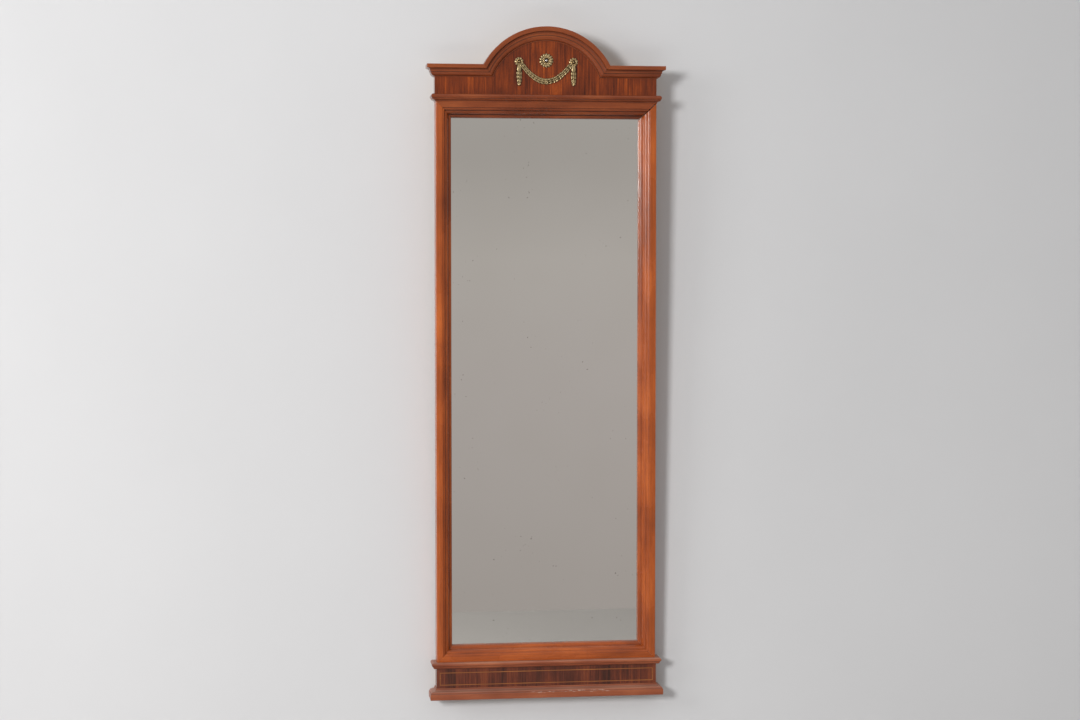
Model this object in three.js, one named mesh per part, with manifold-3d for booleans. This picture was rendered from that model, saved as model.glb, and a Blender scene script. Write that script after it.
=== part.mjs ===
// Pier mirror: a tall wall mirror in a moulded mahogany frame, with an arched crest above and a plinth below.
// Millimetres. +Z is up, +X is to the right seen from the front, and the front faces -Y.
// "Depth" below is the distance in front of the wall, so a depth d lies at y = -d.
// Heights are written up from the foot of the mirror; the finished group is then lowered so that its origin
// lies on the wall face of the top rail, in the middle.

import * as THREE from 'three';
import { mergeVertices } from 'three/addons/utils/BufferGeometryUtils.js';
import Module from 'manifold-3d';

const wasm = await Module();
wasm.setup();

// ---------------------------------------------------------------- driving sizes

// clearances
const MITRE_GAP = 0.3; // between the two faces of a glued mitre
const OPEN_MITRE_GAP = 1.6; // the top right mitre of the frame has opened with age
const SLIP_FIT = 0.3; // round a tongue, dowel, pin or screw in its hole
const INLAY_GAP = 0.1; // beside an inlaid string
const HINGE_GAP = 0.25; // between the ring's bar and its strap
const OVERCUT = 2; // how far a cutter runs past the face it opens

// frame
const SIGHT_WIDTH = 395;
const SIGHT_HEIGHT = 1103;
const MEMBER_WIDTH = 33.5;
const BAND_WIDTH = 13.4;
const FRAME_DEPTH = 40;
const LIP_DEPTH = 16; // depth of the moulding's inner edge in front of the wall
const REBATE_WIDTH = 7;
const REBATE_DEPTH = 9.5;
const ARRIS = 0.8; // worn radius of the band's edges

// the three rounds of the frame's moulding, from the band inwards: each from [along, down] to [along, down],
// as shares of the moulding's width and of its fall
const UPPER_ROUND = [[0.02, 0.05], [0.26, 0.21]];
const MIDDLE_ROUND = [[0.31, 0.28], [0.65, 0.74]];
const INNER_ROUND = [[0.72, 0.79], [0.97, 0.96]];

// plate and back
const PLATE_THICKNESS = 3;
const PLATE_PLAY = 1; // room round the plate, filled by the slips
const SLIP_LENGTH = 30;
const BACK_BOARD_THICKNESS = 4;
const BACK_BOARD_PLAY = 0.8;

// slip tongues in the mitres
const TONGUE_THICKNESS = 3;
const TONGUE_LENGTH = 20;
const TONGUE_WIDTH = 10;
const TONGUE_INSET = 14; // centre of the tongue from each outer edge of the frame
const TONGUE_DEPTH = 14; // depth of its back face in front of the wall

// crest
const CREST_OVERHANG = 1.5; // how far the crest's sides stand out beyond the frame's
const FRIEZE_DEPTH = 32;
const FRIEZE_HEIGHT = 50; // from the top of the frame to the cornice
const CARCASS_RECESS = 8; // the boards' backs stand this far off the wall
const VENEER = 1;
const ARCH_HALF_CHORD = 132.2; // where the arch meets the wings, at the top of the cornice
const ARCH_RISE = 79.2;
const ARCH_CORNICE_WIDTH = 29;
const ARCH_SEGMENTS = 96;

// cornice profile, from its toe upwards
const CORNICE_TOE = 1.6;
const CORNICE_OVOLO = 7.6;
const CORNICE_FILLET = 2.6;
const CORNICE_COVE = 5.2;
const CORNICE_FASCIA = 8.1;
const CORNICE_REACH = 17;

// necking profile
const NECKING_LAP = 2.3; // how far it covers the top of the frame
const NECKING_COVE = 4.8;
const NECKING_NOSE = 5;
const NECKING_HEIGHT = 16.3;
const NECKING_REACH = 10;

// plinth
const PLINTH_OVERHANG = 1.5; // how far the plinth's sides stand out beyond the frame's
const PLINTH_DEPTH = 42;
const PLINTH_HEIGHT = 75.2;
const BEAD_LAP = 2.2; // how far the bead covers the foot of the frame
const BEAD_NOSE = 4.2;
const BEAD_HEIGHT = 13;
const BEAD_REACH = 10;
const BEAD_QUIRK = 1; // depth of the groove under its nose
const BASE_HEIGHT = 23;
const BASE_FILLET = 12.6;
const BASE_STEP = 0.5; // from the fillet up to the foot of the slope
const BASE_TOP = 1; // flat edge above the slope
const BASE_REACH = 13.5;

// stringing
const STRING_WIDTH = 1.5;
const STRING_THICKNESS = 0.6;
const STRING_SIDE_INSET = 7.6; // centre of the line from the plinth's side
const STRING_TOP = 55;
const STRING_BOTTOM = 29.6;

// joinery behind
const DOWEL_RADIUS = 4;
const DOWEL_LENGTH = 38;
const DOWEL_INSET = 61; // from the frame's side
const DOWEL_DEPTH = 22;
const BATTEN_WIDTH = 32;
const BATTEN_HOUSING = 20; // how far a batten is let into the rail
const BATTEN_REACH = 55; // how far it runs over the board
const BATTEN_INSET = 106; // centre of a batten from the frame's side
const SCREW_RADIUS = 2;
const SCREW_HEAD_RADIUS = 3.8;
const SCREW_HEAD_HEIGHT = 2.2;
const SCREW_LENGTH = 22;
const SCREW_SLOT = 0.9;

// brass
const ROSETTE_RADIUS = 15;
const ROSETTE_HEIGHT = 4;
const ROSETTE_PETALS = 14;
const ROSETTE_LEVEL = 85.2; // height of its centre above the frame
const SWAG_HALF_SPAN = 57; // to the centres of its small rosettes
const SWAG_LEVEL = 82.3;
const SWAG_ROSETTE_RADIUS = 9.4;
const SWAG_ROSETTE_PETALS = 9;
const SWAG_SAG = 40; // from the small rosettes down to the middle of the garland
const GARLAND_WIDTH = 12;
const GARLAND_HEIGHT = 4.6;
const GARLAND_LEAVES = 15;
const DROP_LENGTH = 42;
const DROP_WIDTH = 12.6;
const DROP_HEIGHT = 4.4;
const DROP_TIERS = 5;
const PIN_RADIUS = 0.9;
const PIN_LENGTH = 14;
const ROSETTE_PIN_HEAD = 2.8;
const SWAG_PIN_HEAD = 2.3;
const EYE_ROOM = 0.9; // round a pin's head in the eye of its rosette
const EYE_SHARE = 0.5; // the eye's thickness as a share of the rosette's
const EYE_LIP = 0.7; // width of the step up from the eye to the petals
const SCALLOP = 0.08; // depth of a rosette's scallops as a share of its radius
const FLUTE = 0.28; // depth of the furrows between petals as a share of the rosette's height

// hanger
const STRAP_WIDTH = 13;
const STRAP_LENGTH = 30;
const STRAP_THICKNESS = 1.2;
const STRAP_SCREW_SPACING = 11;
const RING_WIRE = 1.5; // radius
const RING_HALF_WIDTH = 13.5; // to the middle of the wire
const RING_DROP = 15; // straight legs of the D below its bar
const HANGER_LEVEL = 62; // height of the hinge above the frame
const HANGER_SCREW_RADIUS = 1.6;
const HANGER_SCREW_LENGTH = 14;
const HANGER_HEAD_HEIGHT = 1.3;

// ---------------------------------------------------------------- places worked out from them

const FRAME_WIDTH = SIGHT_WIDTH + 2 * MEMBER_WIDTH;
const FRAME_HALF = FRAME_WIDTH / 2;
const CREST_WIDTH = FRAME_WIDTH + 2 * CREST_OVERHANG;
const PLINTH_WIDTH = FRAME_WIDTH + 2 * PLINTH_OVERHANG;
const FRAME_BOTTOM = PLINTH_HEIGHT;
const FRAME_TOP = FRAME_BOTTOM + SIGHT_HEIGHT + 2 * MEMBER_WIDTH;
const FRAME_MIDDLE = (FRAME_BOTTOM + FRAME_TOP) / 2;
const FRAME_HEIGHT = FRAME_TOP - FRAME_BOTTOM;
const BACK_EDGE = MEMBER_WIDTH - REBATE_WIDTH; // width of a member's flat back
const CORNICE_HEIGHT = CORNICE_TOE + CORNICE_OVOLO + CORNICE_FILLET + CORNICE_COVE + CORNICE_FASCIA;
const CORNICE_BOTTOM = FRAME_TOP + FRIEZE_HEIGHT;
const WING_TOP = CORNICE_BOTTOM + CORNICE_HEIGHT;
const ARCH_RADIUS = (ARCH_HALF_CHORD ** 2 + ARCH_RISE ** 2) / (2 * ARCH_RISE);
const ARCH_CENTRE = WING_TOP + ARCH_RISE - ARCH_RADIUS;
const ARCH_INNER_RADIUS = ARCH_RADIUS - ARCH_CORNICE_WIDTH;
const ARCH_INNER_HALF_CHORD = Math.sqrt(ARCH_INNER_RADIUS ** 2 - (CORNICE_BOTTOM - ARCH_CENTRE) ** 2);
const WALL_FACE_HEIGHT = FRAME_TOP - BACK_EDGE / 2;

// ---------------------------------------------------------------- materials

function material(colour, roughness, metalness) {
  return new THREE.MeshStandardMaterial({ color: colour, roughness, metalness });
}

const MAHOGANY = { colour: 0x9c5230, roughness: 0.32, metalness: 0 };
const FRIEZE_VENEER = { colour: 0x8b4526, roughness: 0.28, metalness: 0 };
const PLINTH_VENEER = { colour: 0x5c352a, roughness: 0.3, metalness: 0 };
const STRINGING = { colour: 0xb0703f, roughness: 0.35, metalness: 0 };
const PINE = { colour: 0xc49a63, roughness: 0.75, metalness: 0 };
const GLASS = { colour: 0xc9cac6, roughness: 0.03, metalness: 1 };
const BRASS = { colour: 0xa88b4e, roughness: 0.38, metalness: 1 };
const STEEL = { colour: 0x8b8c8c, roughness: 0.42, metalness: 1 };

// ---------------------------------------------------------------- geometry helpers

const X = new THREE.Vector3(1, 0, 0);
const FORWARD = new THREE.Vector3(0, -1, 0);
const UP = new THREE.Vector3(0, 0, 1);

function solid(geometry) {
  const bare = geometry.clone();
  bare.deleteAttribute('normal');
  bare.deleteAttribute('uv');
  const merged = mergeVertices(bare, 1e-4);
  const vertProperties = new Float32Array(merged.attributes.position.array);
  const triVerts = new Uint32Array(merged.index.array);
  return new wasm.Manifold(new wasm.Mesh({ numProp: 3, vertProperties, triVerts }));
}

function geometryOf(manifold) {
  const mesh = manifold.getMesh();
  const geometry = new THREE.BufferGeometry();
  geometry.setAttribute('position', new THREE.BufferAttribute(new Float32Array(mesh.vertProperties), 3));
  geometry.setIndex(new THREE.BufferAttribute(new Uint32Array(mesh.triVerts), 1));
  geometry.computeVertexNormals();
  return geometry;
}

function cut(geometry, cutters) {
  const body = cutters.reduce((rest, cutter) => rest.subtract(solid(cutter)), solid(geometry));
  return geometryOf(body);
}

function common(first, second) {
  return geometryOf(solid(first).intersect(solid(second)));
}

function join(geometries) {
  const [first, ...others] = geometries.map(solid);
  return geometryOf(others.reduce((whole, other) => whole.add(other), first));
}

// The same geometry seen in a looking glass that stands on the plane x = 0.
function mirrored(geometry) {
  const source = geometry.index ? geometry : mergeVertices(geometry, 1e-4);
  const positions = new Float32Array(source.attributes.position.array);
  const index = Array.from(source.index.array);
  for (let i = 0; i < positions.length; i += 3) {
    positions[i] = -positions[i];
  }
  for (let i = 0; i < index.length; i += 3) {
    [index[i + 1], index[i + 2]] = [index[i + 2], index[i + 1]];
  }
  const copy = new THREE.BufferGeometry();
  copy.setAttribute('position', new THREE.BufferAttribute(positions, 3));
  copy.setIndex(index);
  copy.computeVertexNormals();
  return copy;
}

// An outline given in the directions u and v, pushed along u x v from the point "from".
function extrusion(outline, u, v, from, length) {
  const shape = outline instanceof THREE.Shape
    ? outline
    : new THREE.Shape(outline.map(([a, b]) => new THREE.Vector2(a, b)));
  const options = { depth: length, bevelEnabled: false, curveSegments: 40 };
  const geometry = new THREE.ExtrudeGeometry(shape, options);
  const w = new THREE.Vector3().crossVectors(u, v);
  geometry.applyMatrix4(new THREE.Matrix4().makeBasis(u, v, w).setPosition(from));
  return geometry;
}

// An outline in (x, height), from one depth to a greater one.
function slab(outline, backDepth, frontDepth) {
  const from = new THREE.Vector3(0, -backDepth, 0);
  return extrusion(outline, X, UP, from, frontDepth - backDepth);
}

// An outline in (x, depth), from one height to a greater one.
function column(outline, low, high) {
  return extrusion(outline, X, FORWARD, new THREE.Vector3(0, 0, high), high - low);
}

function block(x0, x1, backDepth, frontDepth, low, high) {
  const geometry = new THREE.BoxGeometry(x1 - x0, frontDepth - backDepth, high - low);
  geometry.translate((x0 + x1) / 2, -(backDepth + frontDepth) / 2, (low + high) / 2);
  return geometry;
}

// A turned body on an axis that runs forward from "backDepth"; its outline is (radius, distance forward).
function turned(outline, x, backDepth, height, sides) {
  const points = outline.map(([radius, along]) => new THREE.Vector2(radius, along));
  if (THREE.ShapeUtils.isClockWise(points)) {
    points.reverse();
  }
  const geometry = new THREE.LatheGeometry(points, sides);
  geometry.rotateX(Math.PI);
  geometry.translate(x, -backDepth, height);
  return geometry;
}

function arc(centreOut, centreUp, out, up, startDegrees, endDegrees, steps) {
  const points = [];
  for (let i = 0; i <= steps; i += 1) {
    const angle = THREE.MathUtils.degToRad(startDegrees + ((endDegrees - startDegrees) * i) / steps);
    points.push([centreOut + out * Math.cos(angle), centreUp + up * Math.sin(angle)]);
  }
  return points;
}

// A closed cast relief over the strip between two edges: its back is flat, and its face rises from it.
// grid[i][j] is the point [x, height above the foot, depth] in row i and column j.
function relief(grid, backDepth, closedRows) {
  const rows = grid.length;
  const last = grid[0].length - 1;
  const positions = [];
  const index = [];
  grid.forEach((row) => row.forEach(([x, z, depth]) => positions.push(x, -depth, z)));
  grid.forEach((row) => [row[0], row[last]].forEach(([x, z]) => positions.push(x, -backDepth, z)));
  const face = (i, j) => (i % rows) * (last + 1) + j;
  const near = (i) => rows * (last + 1) + 2 * (i % rows);
  const far = (i) => near(i) + 1;
  const quad = (a, b, c, d) => index.push(a, b, c, a, c, d);
  const rowSteps = closedRows ? rows : rows - 1;
  for (let i = 0; i < rowSteps; i += 1) {
    for (let j = 0; j < last; j += 1) {
      quad(face(i, j), face(i, j + 1), face(i + 1, j + 1), face(i + 1, j));
    }
    quad(near(i), near(i + 1), far(i + 1), far(i));
    quad(face(i, 0), face(i + 1, 0), near(i + 1), near(i));
    quad(face(i + 1, last), face(i, last), far(i), far(i + 1));
  }
  if (!closedRows) {
    const end = rows - 1;
    for (let j = 0; j < last; j += 1) {
      index.push(near(0), face(0, j + 1), face(0, j), near(end), face(end, j), face(end, j + 1));
    }
    index.push(near(0), far(0), face(0, last), near(end), face(end, last), far(end));
  }
  const geometry = new THREE.BufferGeometry();
  geometry.setAttribute('position', new THREE.BufferAttribute(new Float32Array(positions), 3));
  geometry.setIndex(index);
  return geometry;
}

// ---------------------------------------------------------------- profiles

// Section of a frame member as [distance in from the outer edge, depth].
function memberSection() {
  const fall = FRAME_DEPTH - LIP_DEPTH;
  const run = MEMBER_WIDTH - BAND_WIDTH;
  const place = ([along, down]) => [BAND_WIDTH + run * along, FRAME_DEPTH - fall * down];
  const round = ([[startAlong, startDown], [endAlong, endDown]], steps) => (
    arc(startAlong, endDown, endAlong - startAlong, startDown - endDown, 90, 0, steps).map(place)
  );
  return [
    [0, 0],
    ...arc(ARRIS, FRAME_DEPTH - ARRIS, ARRIS, ARRIS, 180, 90, 2),
    [BAND_WIDTH, FRAME_DEPTH],
    ...round(UPPER_ROUND, 4),
    ...round(MIDDLE_ROUND, 5),
    ...round(INNER_ROUND, 3),
    [MEMBER_WIDTH, LIP_DEPTH],
    [MEMBER_WIDTH, REBATE_DEPTH],
    [BACK_EDGE, REBATE_DEPTH],
    [BACK_EDGE, 0],
  ];
}

// Mouldings as [distance out from the face they stand on, height above their own foot].
function corniceProfile() {
  const ovoloFoot = CORNICE_TOE;
  const ovoloTop = ovoloFoot + CORNICE_OVOLO;
  const filletTop = ovoloTop + CORNICE_FILLET;
  const fasciaFoot = filletTop + CORNICE_COVE;
  const toeReach = CORNICE_REACH * 0.13;
  const ovoloReach = CORNICE_REACH * 0.5;
  const coveReach = CORNICE_REACH * 0.59;
  const fasciaReach = CORNICE_REACH * 0.87;
  return [
    [toeReach, 0],
    ...arc(toeReach, ovoloTop, ovoloReach - toeReach, CORNICE_OVOLO, -90, 0, 5),
    [ovoloReach, ovoloTop + CORNICE_FILLET * 0.4],
    [coveReach, ovoloTop + CORNICE_FILLET * 0.4],
    ...arc(fasciaReach, filletTop, coveReach - fasciaReach, CORNICE_COVE, 0, 90, 4),
    [CORNICE_REACH - ARRIS, fasciaFoot],
    [CORNICE_REACH, fasciaFoot + ARRIS],
    ...arc(CORNICE_REACH - ARRIS, CORNICE_HEIGHT - ARRIS, ARRIS, ARRIS, 0, 90, 2),
  ];
}

function neckingProfile() {
  const noseCentre = NECKING_REACH - NECKING_NOSE;
  const coveReach = NECKING_REACH * 0.64;
  const toe = NECKING_REACH * 0.08;
  const noseFoot = noseCentre + NECKING_NOSE * 0.5;
  return [
    ...arc(coveReach, 0, toe - coveReach, NECKING_COVE, 0, 90, 4),
    [noseFoot, NECKING_COVE],
    ...arc(noseCentre, NECKING_HEIGHT - NECKING_NOSE, NECKING_NOSE, NECKING_NOSE, -60, 90, 7),
  ];
}

function beadProfile() {
  const noseCentre = BEAD_REACH - BEAD_NOSE;
  const noseLevel = BEAD_HEIGHT - BEAD_NOSE;
  const lowerTop = noseLevel - BEAD_NOSE * 0.95;
  const lowerReach = BEAD_REACH * 0.74;
  const toe = BEAD_REACH * 0.26;
  return [
    ...arc(toe, lowerTop, lowerReach - toe, lowerTop, -90, 0, 3),
    [lowerReach - BEAD_QUIRK, lowerTop],
    ...arc(noseCentre, noseLevel, BEAD_NOSE, BEAD_NOSE, -60, 90, 7),
  ];
}

function baseProfile() {
  const toe = BASE_REACH * 0.12;
  const middle = BASE_REACH * 0.48;
  const shoulder = BASE_REACH * 0.89;
  const slopeFoot = BASE_FILLET + BASE_STEP;
  const slopeTop = BASE_HEIGHT - BASE_TOP;
  const slopeMiddle = (slopeTop + slopeFoot) / 2;
  return [
    [BASE_REACH - ARRIS, 0],
    [BASE_REACH, ARRIS],
    ...arc(BASE_REACH - ARRIS, BASE_FILLET - ARRIS, ARRIS, ARRIS, 0, 90, 2),
    [shoulder, BASE_FILLET],
    ...arc(middle, slopeFoot, shoulder - middle, slopeMiddle - slopeFoot, 0, 90, 3),
    ...arc(middle, slopeTop, toe - middle, slopeMiddle - slopeTop, 90, 0, 3).slice(1),
    [toe, BASE_HEIGHT],
  ];
}

// ---------------------------------------------------------------- frame

// The four corners of a mitred member in its own plane, pulled back from its mitre planes.
function memberOutline(length, startGap, endGap) {
  const start = -length / 2 + startGap * Math.SQRT2;
  const end = length / 2 - endGap * Math.SQRT2;
  return [[0, start], [0, end], [MEMBER_WIDTH, end - MEMBER_WIDTH], [MEMBER_WIDTH, start + MEMBER_WIDTH]];
}

function stileBlank(lowGap, highGap) {
  const outline = memberOutline(FRAME_HEIGHT, lowGap, highGap);
  const section = memberSection().map(([along, depth]) => [along - FRAME_HALF, depth]);
  const shape = outline.map(([along, height]) => [along - FRAME_HALF, height + FRAME_MIDDLE]);
  return common(column(section, FRAME_BOTTOM, FRAME_TOP), slab(shape, -OVERCUT, FRAME_DEPTH + OVERCUT));
}

// A rail with its outer edge at "outer"; "inward" is -1 for the top rail and 1 for the bottom one.
function railBlank(outer, inward, leftGap, rightGap) {
  const outline = memberOutline(FRAME_WIDTH, leftGap, rightGap);
  const section = memberSection().map(([along, depth]) => [depth, outer + inward * along]);
  const shape = outline.map(([along, x]) => [x, outer + inward * along]);
  const from = new THREE.Vector3(FRAME_HALF, 0, 0);
  const run = extrusion(section, FORWARD, UP, from, FRAME_WIDTH);
  return common(run, slab(shape, -OVERCUT, FRAME_DEPTH + OVERCUT));
}

// One slip tongue, or its mortise when "room" is given, at the corner with the signs sideX and sideZ.
function tongue(sideX, sideZ, room) {
  const geometry = new THREE.BoxGeometry(
    TONGUE_LENGTH + 2 * room,
    TONGUE_THICKNESS + 2 * room,
    TONGUE_WIDTH + 2 * room,
  );
  geometry.rotateY((sideX * sideZ * Math.PI) / 4);
  geometry.translate(
    sideX * (FRAME_HALF - TONGUE_INSET),
    -(TONGUE_DEPTH + TONGUE_THICKNESS / 2),
    FRAME_MIDDLE + sideZ * (FRAME_HEIGHT / 2 - TONGUE_INSET),
  );
  return geometry;
}

const CORNERS = [[-1, -1], [1, -1], [-1, 1], [1, 1]];
const SIDES = [[-1, 'left'], [1, 'right']];

function mortises() {
  return CORNERS.map(([sideX, sideZ]) => tongue(sideX, sideZ, SLIP_FIT));
}

function stileLeft() {
  return cut(stileBlank(MITRE_GAP / 2, MITRE_GAP / 2), mortises());
}

function stileRight() {
  const openGap = OPEN_MITRE_GAP - MITRE_GAP / 2;
  return cut(mirrored(stileBlank(MITRE_GAP / 2, openGap)), mortises());
}

function topRail() {
  const cutters = [
    ...mortises(),
    ...dowelHoles(FRAME_TOP),
    ...housings(CREST_BATTEN),
    ...screwHoles(CREST_SCREWS),
  ];
  return cut(railBlank(FRAME_TOP, -1, MITRE_GAP / 2, MITRE_GAP / 2), cutters);
}

function bottomRail() {
  const cutters = [
    ...mortises(),
    ...dowelHoles(FRAME_BOTTOM),
    ...housings(PLINTH_BATTEN),
    ...screwHoles(PLINTH_SCREWS),
  ];
  return cut(railBlank(FRAME_BOTTOM, 1, MITRE_GAP / 2, MITRE_GAP / 2), cutters);
}

// ---------------------------------------------------------------- plate and back

function plateHalfWidth() {
  return SIGHT_WIDTH / 2 + REBATE_WIDTH - PLATE_PLAY;
}

function plateHalfHeight() {
  return SIGHT_HEIGHT / 2 + REBATE_WIDTH - PLATE_PLAY;
}

function mirrorPlate() {
  const w = plateHalfWidth();
  const h = plateHalfHeight();
  return block(-w, w, REBATE_DEPTH - PLATE_THICKNESS, REBATE_DEPTH, FRAME_MIDDLE - h, FRAME_MIDDLE + h);
}

// A thin slip that carries the plate on the bottom rail's rebate.
function plateSlip(side) {
  const bottom = FRAME_MIDDLE - plateHalfHeight();
  const middle = (side * SIGHT_WIDTH) / 4;
  const half = SLIP_LENGTH / 2;
  const back = REBATE_DEPTH - PLATE_THICKNESS;
  return block(middle - half, middle + half, back, REBATE_DEPTH, bottom - PLATE_PLAY, bottom);
}

function backBoard() {
  const w = SIGHT_WIDTH / 2 + REBATE_WIDTH - BACK_BOARD_PLAY;
  const h = SIGHT_HEIGHT / 2 + REBATE_WIDTH - BACK_BOARD_PLAY;
  const front = REBATE_DEPTH - PLATE_THICKNESS;
  return block(-w, w, front - BACK_BOARD_THICKNESS, front, FRAME_MIDDLE - h, FRAME_MIDDLE + h);
}

// ---------------------------------------------------------------- joinery between frame, crest and plinth

function dowel(side, level, room) {
  const radius = DOWEL_RADIUS + room;
  const pin = new THREE.CylinderGeometry(radius, radius, DOWEL_LENGTH + 2 * room, 16);
  pin.rotateX(Math.PI / 2);
  pin.translate(side * (FRAME_HALF - DOWEL_INSET), -DOWEL_DEPTH, level);
  return pin;
}

function dowelHoles(level) {
  return SIDES.map(([side]) => dowel(side, level, SLIP_FIT / 2));
}

const CREST_BATTEN = { low: FRAME_TOP - BATTEN_HOUSING, high: FRAME_TOP + BATTEN_REACH };
const PLINTH_BATTEN = { low: FRAME_BOTTOM - BATTEN_REACH, high: FRAME_BOTTOM + BATTEN_HOUSING };

// A batten, or with "room" the housing that takes it.
function batten(side, { low, high }, room) {
  const middle = side * (FRAME_HALF - BATTEN_INSET);
  const half = BATTEN_WIDTH / 2 + room;
  const back = room > 0 ? -OVERCUT : 0;
  return block(middle - half, middle + half, back, CARCASS_RECESS, low - room, high + room);
}

function housings(span) {
  return SIDES.map(([side]) => batten(side, span, SLIP_FIT));
}

// A countersunk wood screw whose head is flush with the back of a batten.
function woodScrew(x, backDepth, height, room) {
  const head = SCREW_HEAD_RADIUS + room;
  const shank = SCREW_RADIUS + room;
  const tip = SCREW_LENGTH + room;
  const outline = [[0, 0], [head, 0], [shank, SCREW_HEAD_HEIGHT], [shank, tip - SCREW_RADIUS * 2], [0, tip]];
  const screw = turned(outline, x, backDepth, height, 12);
  if (room > 0) {
    return screw;
  }
  const slotHalf = SCREW_SLOT / 2;
  const slot = block(x - head, x + head, backDepth - OVERCUT, backDepth + SCREW_SLOT, -slotHalf, slotHalf);
  slot.translate(0, 0, height);
  return cut(screw, [slot]);
}

// Two screws through each batten: one into the rail and one into the board.
function screwPlaces(railLevel, boardLevel) {
  const places = [];
  SIDES.forEach(([side, sideName]) => {
    [[railLevel, 'rail'], [boardLevel, 'board']].forEach(([height, endName]) => {
      places.push({ name: `${sideName}_${endName}`, x: side * (FRAME_HALF - BATTEN_INSET), height });
    });
  });
  return places;
}

const CREST_SCREWS = screwPlaces(FRAME_TOP - BATTEN_HOUSING / 2, FRAME_TOP + BATTEN_REACH * 0.75);
const PLINTH_SCREWS = screwPlaces(FRAME_BOTTOM + BATTEN_HOUSING / 2, FRAME_BOTTOM - BATTEN_REACH * 0.75);

function screwHoles(places) {
  return places.map(({ x, height }) => woodScrew(x, 0, height, SLIP_FIT));
}

function screwedBatten(side, span, places) {
  return cut(batten(side, span, 0), screwHoles(places));
}

// ---------------------------------------------------------------- crest

function crestOutline() {
  const half = CREST_WIDTH / 2;
  const start = Math.atan2(WING_TOP - ARCH_CENTRE, ARCH_HALF_CHORD);
  const shape = new THREE.Shape();
  shape.moveTo(-half, FRAME_TOP);
  shape.lineTo(half, FRAME_TOP);
  shape.lineTo(half, WING_TOP);
  shape.lineTo(ARCH_HALF_CHORD, WING_TOP);
  shape.absarc(0, ARCH_CENTRE, ARCH_RADIUS, start, Math.PI - start, false);
  shape.lineTo(-half, WING_TOP);
  shape.closePath();
  return shape;
}

function ornamentPins(room) {
  const level = FRAME_TOP + SWAG_LEVEL;
  return [
    brassPin(0, FRAME_TOP + ROSETTE_LEVEL, ROSETTE_HEIGHT, ROSETTE_PIN_HEAD, room),
    brassPin(-SWAG_HALF_SPAN, level, GARLAND_HEIGHT, SWAG_PIN_HEAD, room),
    brassPin(SWAG_HALF_SPAN, level, GARLAND_HEIGHT, SWAG_PIN_HEAD, room),
  ];
}

function crestBoard() {
  const cutters = [
    ...dowelHoles(FRAME_TOP),
    ...screwHoles(CREST_SCREWS),
    ...ornamentPins(SLIP_FIT),
    ...hangerScrews(SLIP_FIT),
  ];
  return cut(slab(crestOutline(), CARCASS_RECESS, FRIEZE_DEPTH - VENEER), cutters);
}

function friezeVeneer() {
  return cut(slab(crestOutline(), FRIEZE_DEPTH - VENEER, FRIEZE_DEPTH), ornamentPins(SLIP_FIT));
}

// ---------------------------------------------------------------- mouldings that wrap round three sides

// A front run and a right return, mitred together. The profile stands on a block whose front is at
// "frontDepth" and whose right side is at "side"; "carcass" lists the blocks that it is fitted over.
function wrappedMoulding({ profile, foot, reach, side, frontDepth, backDepth, carcass }) {
  const inner = backDepth - frontDepth;
  const top = profile[profile.length - 1][1];
  const low = profile[0][1];
  const closed = [[inner, low], ...profile, [inner, top]].map(([out, up]) => [out, up + foot]);
  const corner = side + reach;
  const front = frontDepth + reach;
  const pull = (MITRE_GAP / 2) * Math.SQRT2;

  const frontSection = closed.map(([out, up]) => [out + frontDepth, up]);
  const frontRun = extrusion(frontSection, FORWARD, UP, new THREE.Vector3(corner, 0, 0), 2 * corner);
  const frontPlan = [
    [pull - corner, front],
    [corner - pull, front],
    [corner - pull - front, 0],
    [pull + front - corner, 0],
  ];
  const planFoot = foot - OVERCUT;
  const planTop = foot + top + OVERCUT;
  const frontPiece = cut(common(frontRun, column(frontPlan, planFoot, planTop)), carcass);

  const sideSection = closed.map(([out, up]) => [out + side, up]);
  const start = new THREE.Vector3(0, -backDepth, 0);
  const sideRun = extrusion(sideSection, X, UP, start, front - backDepth);
  const sidePlan = [
    [corner, backDepth],
    [corner, front - pull],
    [corner - (front - pull - backDepth), backDepth],
  ];
  const returnPiece = cut(common(sideRun, column(sidePlan, planFoot, planTop)), carcass);
  return { front: frontPiece, right: returnPiece, left: mirrored(returnPiece) };
}

function crestCarcass() {
  const half = CREST_WIDTH / 2;
  return block(-half, half, 0, FRIEZE_DEPTH, FRAME_TOP, WING_TOP + OVERCUT);
}

function frameCarcass() {
  return block(-FRAME_HALF, FRAME_HALF, -OVERCUT, FRAME_DEPTH, FRAME_BOTTOM, FRAME_TOP);
}

function plinthCarcass() {
  const half = PLINTH_WIDTH / 2;
  return block(-half, half, 0, PLINTH_DEPTH, -OVERCUT, FRAME_BOTTOM);
}

function necking() {
  return wrappedMoulding({
    profile: neckingProfile(),
    foot: FRAME_TOP - NECKING_LAP,
    reach: NECKING_REACH,
    side: FRAME_HALF,
    frontDepth: FRAME_DEPTH,
    backDepth: CARCASS_RECESS,
    carcass: [crestCarcass(), frameCarcass()],
  });
}

function bead() {
  return wrappedMoulding({
    profile: beadProfile(),
    foot: FRAME_BOTTOM + BEAD_LAP - BEAD_HEIGHT,
    reach: BEAD_REACH,
    side: PLINTH_WIDTH / 2,
    frontDepth: PLINTH_DEPTH,
    backDepth: CARCASS_RECESS,
    carcass: [plinthCarcass(), frameCarcass()],
  });
}

function base() {
  return wrappedMoulding({
    profile: baseProfile(),
    foot: 0,
    reach: BASE_REACH,
    side: PLINTH_WIDTH / 2,
    frontDepth: PLINTH_DEPTH,
    backDepth: CARCASS_RECESS,
    carcass: [plinthCarcass()],
  });
}

function cornice() {
  return wrappedMoulding({
    profile: corniceProfile(),
    foot: CORNICE_BOTTOM,
    reach: CORNICE_REACH,
    side: CREST_WIDTH / 2,
    frontDepth: FRIEZE_DEPTH,
    backDepth: CARCASS_RECESS,
    carcass: [crestCarcass()],
  });
}

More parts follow.
